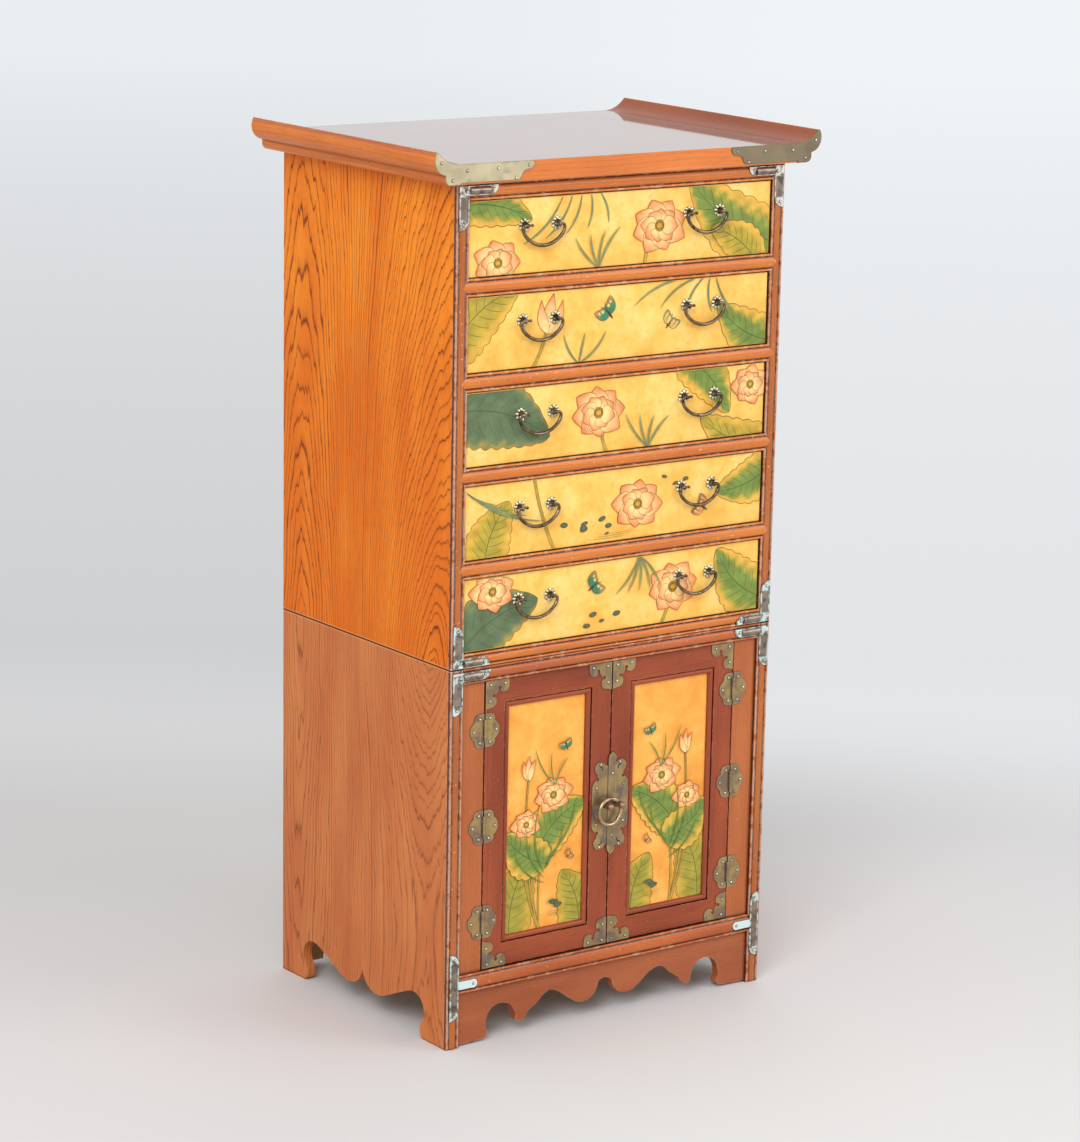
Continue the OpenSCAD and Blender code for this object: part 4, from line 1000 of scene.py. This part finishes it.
class CHEST_OT_top(ChestOperator):
    """Top board and rolled ends under a thick glossy lacquer"""

    bl_idname = "chest.top"
    bl_label = "Top board"

    def execute(self, context):
        # wood polished under thick lacquer: it mirrors the room at a low angle, and shows deep
        # brown grain from above
        gloss = {"Roughness": 0.4, "IOR": 1.5, "Specular_IOR_Level": 0.2, "Coat_Weight": 1.0,
                 "Coat_Roughness": 0.05, "Coat_IOR": 1.55}
        board_wood = wood("polished_wood_board", grain((0, 1, 0), (1, 1, 0), (2, -1, 1243)),
                          straight(21, 4.2, 0.38), ("#EC8636", "#CE6A22", "#8E4414", "#EED0A8"),
                          specks=0.12, worn=0.3, upper=("#8A563A", "#744630", "#3E1E0E"), **gloss)
        # the rolls are handled more: a thinner, duller lacquer over redder wood
        thin = dict(gloss, Coat_Weight=0.3, Coat_Roughness=0.16)
        rolls = wood("polished_wood_rolls", grain((1, 1, 0), (2, 1, 1100), (0, 1, 0)),
                     straight(22, 4.6, 0.55), ("#EA862C", "#CC661A", "#803A10", "#F8D49A"),
                     specks=0.12, worn=0.5, upper=("#A44C14", "#8E4012", "#5C2408"), **thin)
        dress(["top_board"], board_wood)
        dress(["scroll_end_left", "scroll_end_right"], rolls)
        return {"FINISHED"}


def mitre_mask(tree, split):
    """1 on the level members of a door frame: where a mitre's 45 degree line is passed."""
    low, high = node_box("door_left_frame")
    half_case = node_box("lower_posts")[1][0] / 2
    half_x, _, half_z = (high - low) / 2
    centre_x, _, centre_z = (high + low) / 2
    x = put(tree, "Math", {0: aside_mm(tree, split, 0, half_case), 1: half_case - centre_x},
            operation="SUBTRACT")
    x = put(tree, "Math", {0: x}, operation="ABSOLUTE")
    x = put(tree, "Math", {0: half_x, 1: x}, operation="SUBTRACT")
    z = put(tree, "Math", {0: half_z, 1: aside_mm(tree, split, 2, centre_z)},
            operation="SUBTRACT")
    return put(tree, "Math", {0: z, 1: x}, operation="LESS_THAN")


class CHEST_OT_doors(ChestOperator):
    """Door frames in dark red-brown wood round painted panels"""

    bl_idname = "chest.doors"
    bl_label = "Doors"

    def execute(self, context):
        # wood stained dark red-brown and oiled: quiet grain that turns at the mitres, dull sheen
        stained = wood("stained_wood_doors", UPRIGHT, straight(31, 3.4, 0.5),
                       (context.scene.chest_colours.door, "#863A22", "#54200F", "#E2B694"),
                       specks=0.35, worn=0.5, second=(LEVEL, mitre_mask), Roughness=0.38,
                       IOR=1.5, Specular_IOR_Level=0.28)
        dress(["door_left_frame", "door_right_frame"], stained)
        finishes = painted_finishes("door_panels", ("#FDBD5E", "#F9AD4C", "#F09D3E", "#E48D32"))
        shown = DOOR_MEMBER - 0.5  # paint runs half a millimetre under the members
        rounding = 0.4
        for side in ("left", "right"):
            name = f"door_{side}_panel"
            low, high = node_box(name)
            outer_low, outer_high = node_box(f"door_{side}_frame")
            canvas = Canvas(outer_low[::2] + shown, outer_high[::2] - shown, low[1],
                            context.scene.chest_sizes.design_seed + 20, side == "right")
            door_design(canvas)
            painted(f"painted_panel_{side}", low, high, rounding, canvas, finishes,
                    f"{side}_door", name)
        return {"FINISHED"}


def painted_finishes(name, tones):
    """The ground and the paint on it, sharing a satin varnish."""
    varnish = {"Roughness": 0.42, "IOR": 1.5, "Specular_IOR_Level": 0.25}
    # oil ground rubbed on by hand: a cloudy gold-yellow that glows a little through varnish
    ground = painted_ground("gilt_ground_" + name, tones, **varnish)
    # thin paint brushed over it: every colour is uneven over 17 mm, as a wash dries
    paint, tree = blank("brushed_paint_" + name)
    place = put(tree, "TexCoord").outputs["Object"]
    colour = put(tree, "Attribute", attribute_name="paint").outputs["Color"]
    wash = put(tree, "TexNoise", {"Vector": place, "Scale": 60.0, "Detail": 4.0,
                                  "Roughness": 0.6})
    wash = put(tree, "MapRange", {0: wash, 1: 0.3, 2: 0.7, 3: 0.84, 4: 1.14})
    colour = put(tree, "VectorMath", {0: colour, 3: wash}, operation="SCALE")
    shade(tree, Base_Color=colour, **varnish)
    return ground, paint


def painted(name, low, high, radius, canvas, materials, body, node):
    """A board with its painted layers in one mesh, in place of a plain board."""
    points, faces = board(low, high, radius)
    layers, shapes, tones = canvas.made()
    colours = np.vstack([np.ones((len(points), 3)), tones])
    which = np.concatenate([np.zeros(len(faces), int), np.ones(len(shapes), int)])
    piece = mesh_piece(name, np.vstack([points, layers]),
                       np.vstack([faces, shapes + len(points)]), materials, which, colours)
    ride_for(piece, body, node)


class CHEST_OT_drawers(ChestOperator):
    """Drawer fronts with rounded edges and painted plants, and the boxes behind them"""

    bl_idname = "chest.drawers"
    bl_label = "Drawers"

    def execute(self, context):
        sizes = context.scene.chest_sizes
        radius = sizes.front_rounding / MM
        finishes = painted_finishes("drawer_fronts", ("#FFD880", "#FCC862", "#F4B650", "#E6A042"))
        # plain planed wood, never lacquered: pale and matt with faint lines
        box_wood = wood("plain_wood_drawer_boxes", INWARD, straight(41, 5.0, 0.35),
                        ("#D8B27C", "#C89C64", "#A87A48", "#E8D0A8"), worn=0.2, Roughness=0.6,
                        IOR=1.5)
        for number in range(1, DRAWERS + 1):
            node = f"drawer_front_{number}"
            low, high = node_box(node)
            canvas = Canvas(low[::2] + radius, high[::2] - radius, low[1],
                            sizes.design_seed + number)
            drawer_design(canvas, number)
            painted(f"painted_front_{number}", low, high, radius, canvas, finishes,
                    NODES[node]["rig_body"], node)
            dress([f"drawer_box_{number}"], box_wood)
        return {"FINISHED"}


class CHEST_OT_inside(ChestOperator):
    """Unlacquered boards: backs, decks and runners"""

    bl_idname = "chest.inside"
    bl_label = "Backs, decks and runners"

    def execute(self, context):
        # plain sawn wood, never lacquered: dull yellow-brown, a little darker than the drawers
        tones = ("#C79A62", "#B4854E", "#8E6438", "#E3C79A")
        joint = node_box("upper_side_left")[0][2]
        for name, nodes, axes, cut, seam in (
            ("backs", ["upper_back_panel", "lower_back_panel"], UPRIGHT, straight(51, 6.0, 0.5),
             joint),
            ("decks", ["upper_floor", "lower_top_board", "cupboard_floor"],
             grain((0, 1, 0), (1, 1, 0), (2, 1, 0)), straight(52, 6.0, 0.5), None),
            ("runners", ["drawer_runners"], INWARD, straight(53, 5.0, 0.4), None),
        ):
            dress(nodes, wood("plain_wood_" + name, axes, cut, tones, worn=0.2, seam=seam,
                              Roughness=0.62, IOR=1.5))
        return {"FINISHED"}


# Metalwork


class CHEST_OT_pulls(ChestOperator):
    """Bow pulls with turned-in ends, on flower-shaped rosettes"""

    bl_idname = "chest.pulls"
    bl_label = "Bow pulls"

    def execute(self, context):
        thick = context.scene.chest_sizes.bow_thickness / MM
        # cast brass darkened by hands: a brown metal with soft bright glints
        dark = aged_brass("cast_brass_darkened", ("#8E785E", "#625040", "#30261E", "#B8A488"),
                          clouds=90.0, rim=0.0, Roughness=0.2, Metallic=1.0)
        # cast brass kept bright: pale yellow petals with dark gaps, painted shade darkening the
        # petals where they meet
        bright = aged_brass("cast_brass_petals", ("#F2EDCF", "#D2CBA2", "#4A4232", "#F2EDCF"),
                            clouds=160.0, Roughness=0.3, Metallic=0.9)
        for number in range(1, DRAWERS + 1):
            face = node_box(f"drawer_front_{number}")[0][1]
            rosettes = Gather()
            for side in ("left", "right"):
                node = f"bail_{side}_{number}"
                low, high = node_box(node)
                middle, axis_y, _ = (low + high) / 2
                axis_z = high[2] - BOW_AXIS
                self.bow(node, (middle, axis_y, axis_z), axis_z - low[2], high[0] - low[0],
                         thick, dark)
                for x in (middle - POSTS_APART / 2, middle + POSTS_APART / 2):
                    self.rosette(rosettes, x, face, axis_y, axis_z)
            node = f"drawer_rosettes_{number}"
            piece = rosettes.piece(f"flower_rosettes_{number}", [bright, dark])
            ride_for(piece, NODES[node]["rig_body"], node)
        return {"FINISHED"}

    @staticmethod
    def bow(node, centre, drop, width, thick, metal):
        """Bar with radius thick/2 (0.74 + 0.26 sin^1.3) along the bow, with thin pins in the
        eyes of the posts and a round knob beside each eye."""
        line = bow_path(drop - thick / 2, width - thick)
        pins = np.array([[19.5, 0.0], [20.0, 0.0], [25.0, 0.0]])
        pin_radius, knob, knob_out, sides = 1.4, 2.3, 19.4, 14
        path = np.vstack([pins, line, pins[::-1] * (-1, 1)])
        path = np.stack([path[:, 0], np.zeros(len(path)), path[:, 1]], 1) + centre
        s = np.linspace(0, math.pi, len(path))
        radius = thick / 2 * (0.74 + 0.26 * np.sin(s) ** 1.3)
        radius[:3] = radius[-3:] = pin_radius
        radius[[0, -1]] = 0.05
        bars = Gather()
        bars.add(tube(path, radius, sides))
        for sign in (-1, 1):
            spot = np.array(centre) + (sign * knob_out, 0, 0)
            bars.add(barrel(knob, knob, 1.0, sides, spot), turn=True)
        piece = bars.piece("bow_" + node, [metal])
        ride_for(piece, NODES[node]["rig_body"], node)

    @staticmethod
    def rosette(shapes, x, face, y, z):
        """Nine domed petals round a post whose head is a barrel-shaped eye for the bow's end.
        A petal's point (a, t) lies at out = middle + half_long cos a cos(pi t/2), aside =
        half_wide sin a cos(pi t/2) and rise = dome sin(pi t/2)."""
        petals, middle, half_long, half_wide, dome = 9, 6.7, 3.3, 2.35, 2.1
        disc = [(8.4, face), (8.6, face - 0.5), (8.0, face - 1.0), (3.0, face - 1.2)]
        shapes.add(turned(disc, 40, (x, 0, z)), 1)
        a, t = np.meshgrid(np.linspace(0, 2 * math.pi, 13)[:-1], np.linspace(0, 1, 6))
        out = middle + half_long * np.cos(a) * np.cos(t * math.pi / 2)
        aside = half_wide * np.sin(a) * np.cos(t * math.pi / 2)
        rise = face - 0.6 - dome * np.sin(t * math.pi / 2)
        for k in range(petals):
            c, s = toward(2 * math.pi * (k + 0.25) / petals)
            petal = np.stack([x + out * c - aside * s, rise, z + out * s + aside * c], -1)
            shapes.add(petal, 0, turn=True)
        stem = [(4.0, face - 1.0), (3.9, face - 2.4), (2.5, face - 3.4), (2.4, y + 3.0)]
        shapes.add(turned(stem, 20, (x, 0, z)), 1)
        shapes.add(barrel(3.3, 2.9, 0.6, 20, (x, y, z)), 1, turn=True)


class CHEST_OT_metalwork(ChestOperator):
    """Sheet brass plates, straps and hinges with domed nails, and the ring pull"""

    bl_idname = "chest.metalwork"
    bl_label = "Plates, straps, hinges, ring"

    def execute(self, context):
        sheet = ("#AE945E", "#8A745C", "#6A5E62", "#D4CCC0")
        # rolled sheet, lightly tarnished: pale straw with dirty rims, duller to the right
        plates = aged_brass("sheet_brass_board_plates",
                            ("#CCC09C", "#B4A88A", "#82766C", "#4A3E36"), clouds=22.0, rim=0.85,
                            rim_size=0.0022, parts=[(to_the_right(200.0, 400.0), "#72644E", True)],
                            Roughness=0.4, Metallic=0.85)
        # pressed sheet, long weathered: grey-brown ridges, blue-green bloom on the flats of the
        # lower straps and on the lowest tongues, and on the upper ones spots of silvery bare
        # metal, painted paler as a highlight
        ridge = node_box("upper_corner_straps")[1][1] - 1.2
        strap_middle, strap_top, tongue_inset, tongue_top = 900.0, 1300.0, 19.0, 200.0
        straps = aged_brass("sheet_brass_straps", ("#9C8E80", "#7E7064", "#4E443E", "#E4DED2"),
                            clouds=70.0,
                            parts=[(bloom(ridge, 0.0, strap_middle), "#CFE6E2", False),
                                   (tongues(tongue_inset, tongue_top), "#CFE6E2", False),
                                   (bloom(ridge, strap_middle, strap_top), "#E6E4DC", True)],
                            Roughness=0.34, Metallic=0.85)
        # cut sheet with a purple-brown stain in clouds: olive-gold, bright along the rims
        hinges = aged_brass("sheet_brass_hinges", sheet, clouds=42.0, rim=0.8, rim_size=0.0012,
                            Roughness=0.42, Metallic=0.8)
        # the same sheet on the doors, with copper-coloured studs that stand 3 mm out of it
        door_face = node_box("door_left_frame")[0][1]
        studs = standing_out(door_face - 2.6, door_face - 3.2)
        fronts = aged_brass("sheet_brass_door_plates", sheet, clouds=34.0, rim=0.7,
                            rim_size=0.0012, parts=[(studs, "#9C7C6A", True)], Roughness=0.4,
                            Metallic=0.8)
        # drawn nails with rubbed heads: a pale point of light on each, and a painted dark
        # reflection on the flanks round its foot
        heads = aged_brass("brass_nail_heads", ("#F0EADA", "#CFC6B0", "#3E3630", "#F0EADA"),
                           clouds=200.0, painted_dark_flanks=True, Roughness=0.26, Metallic=1.0)
        # cast brass polished by hands: warm gold with smooth reflections
        ring = aged_brass("cast_brass_ring", ("#C4AE88", "#A08A68", "#6A5444", "#D8C498"),
                          clouds=50.0, rim=0.0, Roughness=0.22, Metallic=1.0)
        dress(["top_corner_plates"], plates)
        dress(["upper_corner_straps", "lower_corner_straps"], straps)
        dress(["case_hinge_leaves", "door_left_hinge_leaves", "door_right_hinge_leaves"], hinges)
        dress(["door_left_plates", "door_right_plates"], fronts)
        dress(["case_nails", "door_left_nails", "door_right_nails"], heads)
        dress(["ring_pull"], ring)
        return {"FINISHED"}


# Stage


class CHEST_OT_stage(ChestOperator):
    """Pale floor, soft lamps and the camera"""

    bl_idname = "chest.stage"
    bl_label = "Floor, lamps and camera"

    def execute(self, context):
        scene = context.scene
        size = 30.0
        corner = np.array([[-size, -size, 0], [size, -size, 0], [size, size, 0], [-size, size, 0]])
        floor = mesh_piece("studio_floor", (corner - ORIGIN) / MM, [[0, 1, 2, 3]], [self.floor()])
        self.lamp("key", (-4.2, -3.6, 4.4), (0, 0, 0.6), (3.2, 3.2), 215)
        self.lamp("fill", (3.4, -4.6, 2.8), (0, 0, 0.6), (3.0, 3.0), 85)
        glow = self.lamp("glow_behind", (3.7, 4.8, 3.0), (0, 0, 1.2), (4.0, 1.8), 34)
        # its light only warms the rims: its shape would glare in the polished top
        glow.visible_glossy = False
        world = bpy.data.worlds.new("studio")
        world.use_nodes = True
        tree = world.node_tree
        tree.nodes.clear()
        rays = put(tree, "LightPath")
        power = put(tree, "MapRange", {0: rays.outputs["Is Camera Ray"], 3: 0.8, 4: 0.9})
        power = put(tree, "Math", {0: rays.outputs["Is Glossy Ray"], 1: 0.26, 2: power},
                    operation="MULTIPLY_ADD")
        sky = put(tree, "Background", {"Color": "#F2F4F6", "Strength": power})
        put(tree, "OutputWorld", {"Surface": sky})
        scene.world = world
        scene.view_settings.view_transform = "Standard"
        self.camera(scene)
        return {"FINISHED"}

    @staticmethod
    def floor():
        """Matt painted floor. Past the lamps' reach it glows in its own colour for camera and
        mirror rays, painted light that stands in for a lit backdrop, paler towards the distance
        and the right."""
        material, tree = blank("matt_studio_floor")
        place = put(tree, "TexCoord").outputs["Object"]
        way = put(tree, "VectorMath", {0: place, 1: (0.612, 0.791, 0)}, operation="DOT_PRODUCT")
        aside = put(tree, "VectorMath", {0: place, 1: (0.791, -0.612, 0)},
                    operation="DOT_PRODUCT")
        reach = put(tree, "Math", {0: way, 1: 5.4}, operation="ADD")
        aside = put(tree, "Math", {0: aside, 1: reach}, operation="DIVIDE")
        aside = put(tree, "MapRange", {0: aside, 1: -0.07, 2: 0.06},
                    interpolation_type="SMOOTHSTEP")
        far = put(tree, "MapRange", {0: way, 1: -1.0, 2: 18.0})
        # the tones paint light and shade as colour: darker just behind the chest, paler into the
        # distance
        tone = put(tree, "ValToRGB", {0: far}, [
            (0.03, "#DAD8D7"), (0.095, "#CECCCB"), (0.123, "#D6D6D7"), (0.155, "#CFD0D2"),
            (0.8, "#EAEEF1"),
        ])
        lit = put(tree, "MapRange", {0: way, 1: 0.7, 2: 1.7}, interpolation_type="SMOOTHSTEP")
        paler = put(tree, "MapRange", {0: lit, 3: 0.18, 4: 0.45})
        paler = put(tree, "Math", {0: paler, 1: aside}, operation="MULTIPLY")
        tone = coats(tree, tone, (paler, "#F8FBFD"))
        rays = put(tree, "LightPath").outputs
        seen = put(tree, "Math", {0: rays["Is Camera Ray"], 1: rays["Is Glossy Ray"]},
                   operation="MAXIMUM")
        seen = put(tree, "Math", {0: seen, 1: rays["Is Transmission Ray"]}, operation="MAXIMUM")
        lit = put(tree, "Math", {0: lit, 1: seen}, operation="MULTIPLY")
        surface = put(tree, "BsdfPrincipled", {"Base Color": tone, "Roughness": 0.9, "IOR": 1.3})
        glow = put(tree, "Emission", {0: tone})
        both = put(tree, "MixShader", {0: lit, 1: surface, 2: glow})
        put(tree, "OutputMaterial", {"Surface": both})
        return material

    @staticmethod
    def lamp(name, place, target, size, power):
        """Rectangular soft lamp that faces a target."""
        data = bpy.data.lights.new(name, "AREA")
        data.shape = "RECTANGLE"
        data.size, data.size_y = size
        data.energy = power
        made = bpy.data.objects.new(name, data)
        made.location = place
        way = Vector(target) - Vector(place)
        made.rotation_euler = way.to_track_quat("-Z", "Y").to_euler()
        bpy.context.scene.collection.objects.link(made)
        return made

    @staticmethod
    def camera(scene):
        """Long lens at the photograph's angle: 37.7 degrees to the left, 15 degrees up."""
        azimuth, height, roll = math.radians(-37.737), math.radians(15.024), math.radians(1.55)
        back = Vector((math.sin(azimuth) * math.cos(height),
                       -math.cos(azimuth) * math.cos(height), math.sin(height)))
        right = (-back).cross(Vector((0, 0, 1))).normalized()
        up = right.cross(-back)
        right, up = (right * math.cos(roll) + up * math.sin(roll),
                     up * math.cos(roll) - right * math.sin(roll))
        data = bpy.data.cameras.new("camera")
        data.sensor_width = 36.0
        data.lens = 120.496
        data.shift_x, data.shift_y = -0.0968, 0.1249
        data.clip_end = 200
        camera = bpy.data.objects.new("camera", data)
        camera.matrix_world = Matrix.Translation((-3.1562, -4.37245, 1.8545)) @ Matrix(
            (right, up, back)).transposed().to_4x4()
        scene.collection.objects.link(camera)
        scene.camera = camera


# Panel and run


STEPS = (CHEST_OT_stage, CHEST_OT_sides, CHEST_OT_frame, CHEST_OT_top, CHEST_OT_doors,
         CHEST_OT_drawers, CHEST_OT_pulls, CHEST_OT_metalwork, CHEST_OT_inside)


class CHEST_PT_panel(bpy.types.Panel):
    """Lists the settings and the steps"""

    bl_label = "Chest of drawers"
    bl_idname = "CHEST_PT_panel"
    bl_space_type = "VIEW_3D"
    bl_region_type = "UI"
    bl_category = "Chest"

    def draw(self, context):
        for group in (context.scene.chest_sizes, context.scene.chest_colours):
            for key in group.__annotations__:
                self.layout.prop(group, key)
        for step in STEPS:
            self.layout.operator(step.bl_idname)


CLASSES = (ChestSizes, ChestColours) + STEPS + (CHEST_PT_panel,)


def register():
    """Makes the classes and settings known."""
    for cls in CLASSES:
        bpy.utils.register_class(cls)
    bpy.types.Scene.chest_sizes = PointerProperty(type=ChestSizes)
    bpy.types.Scene.chest_colours = PointerProperty(type=ChestColours)


def unregister():
    """Takes the classes and settings away again."""
    del bpy.types.Scene.chest_sizes
    del bpy.types.Scene.chest_colours
    for cls in reversed(CLASSES):
        bpy.utils.unregister_class(cls)


def main():
    """Runs every step."""
    register()
    for step in STEPS:
        group, name = step.bl_idname.split(".")
        getattr(getattr(bpy.ops, group), name)()


if __name__ == "__main__":
    main()
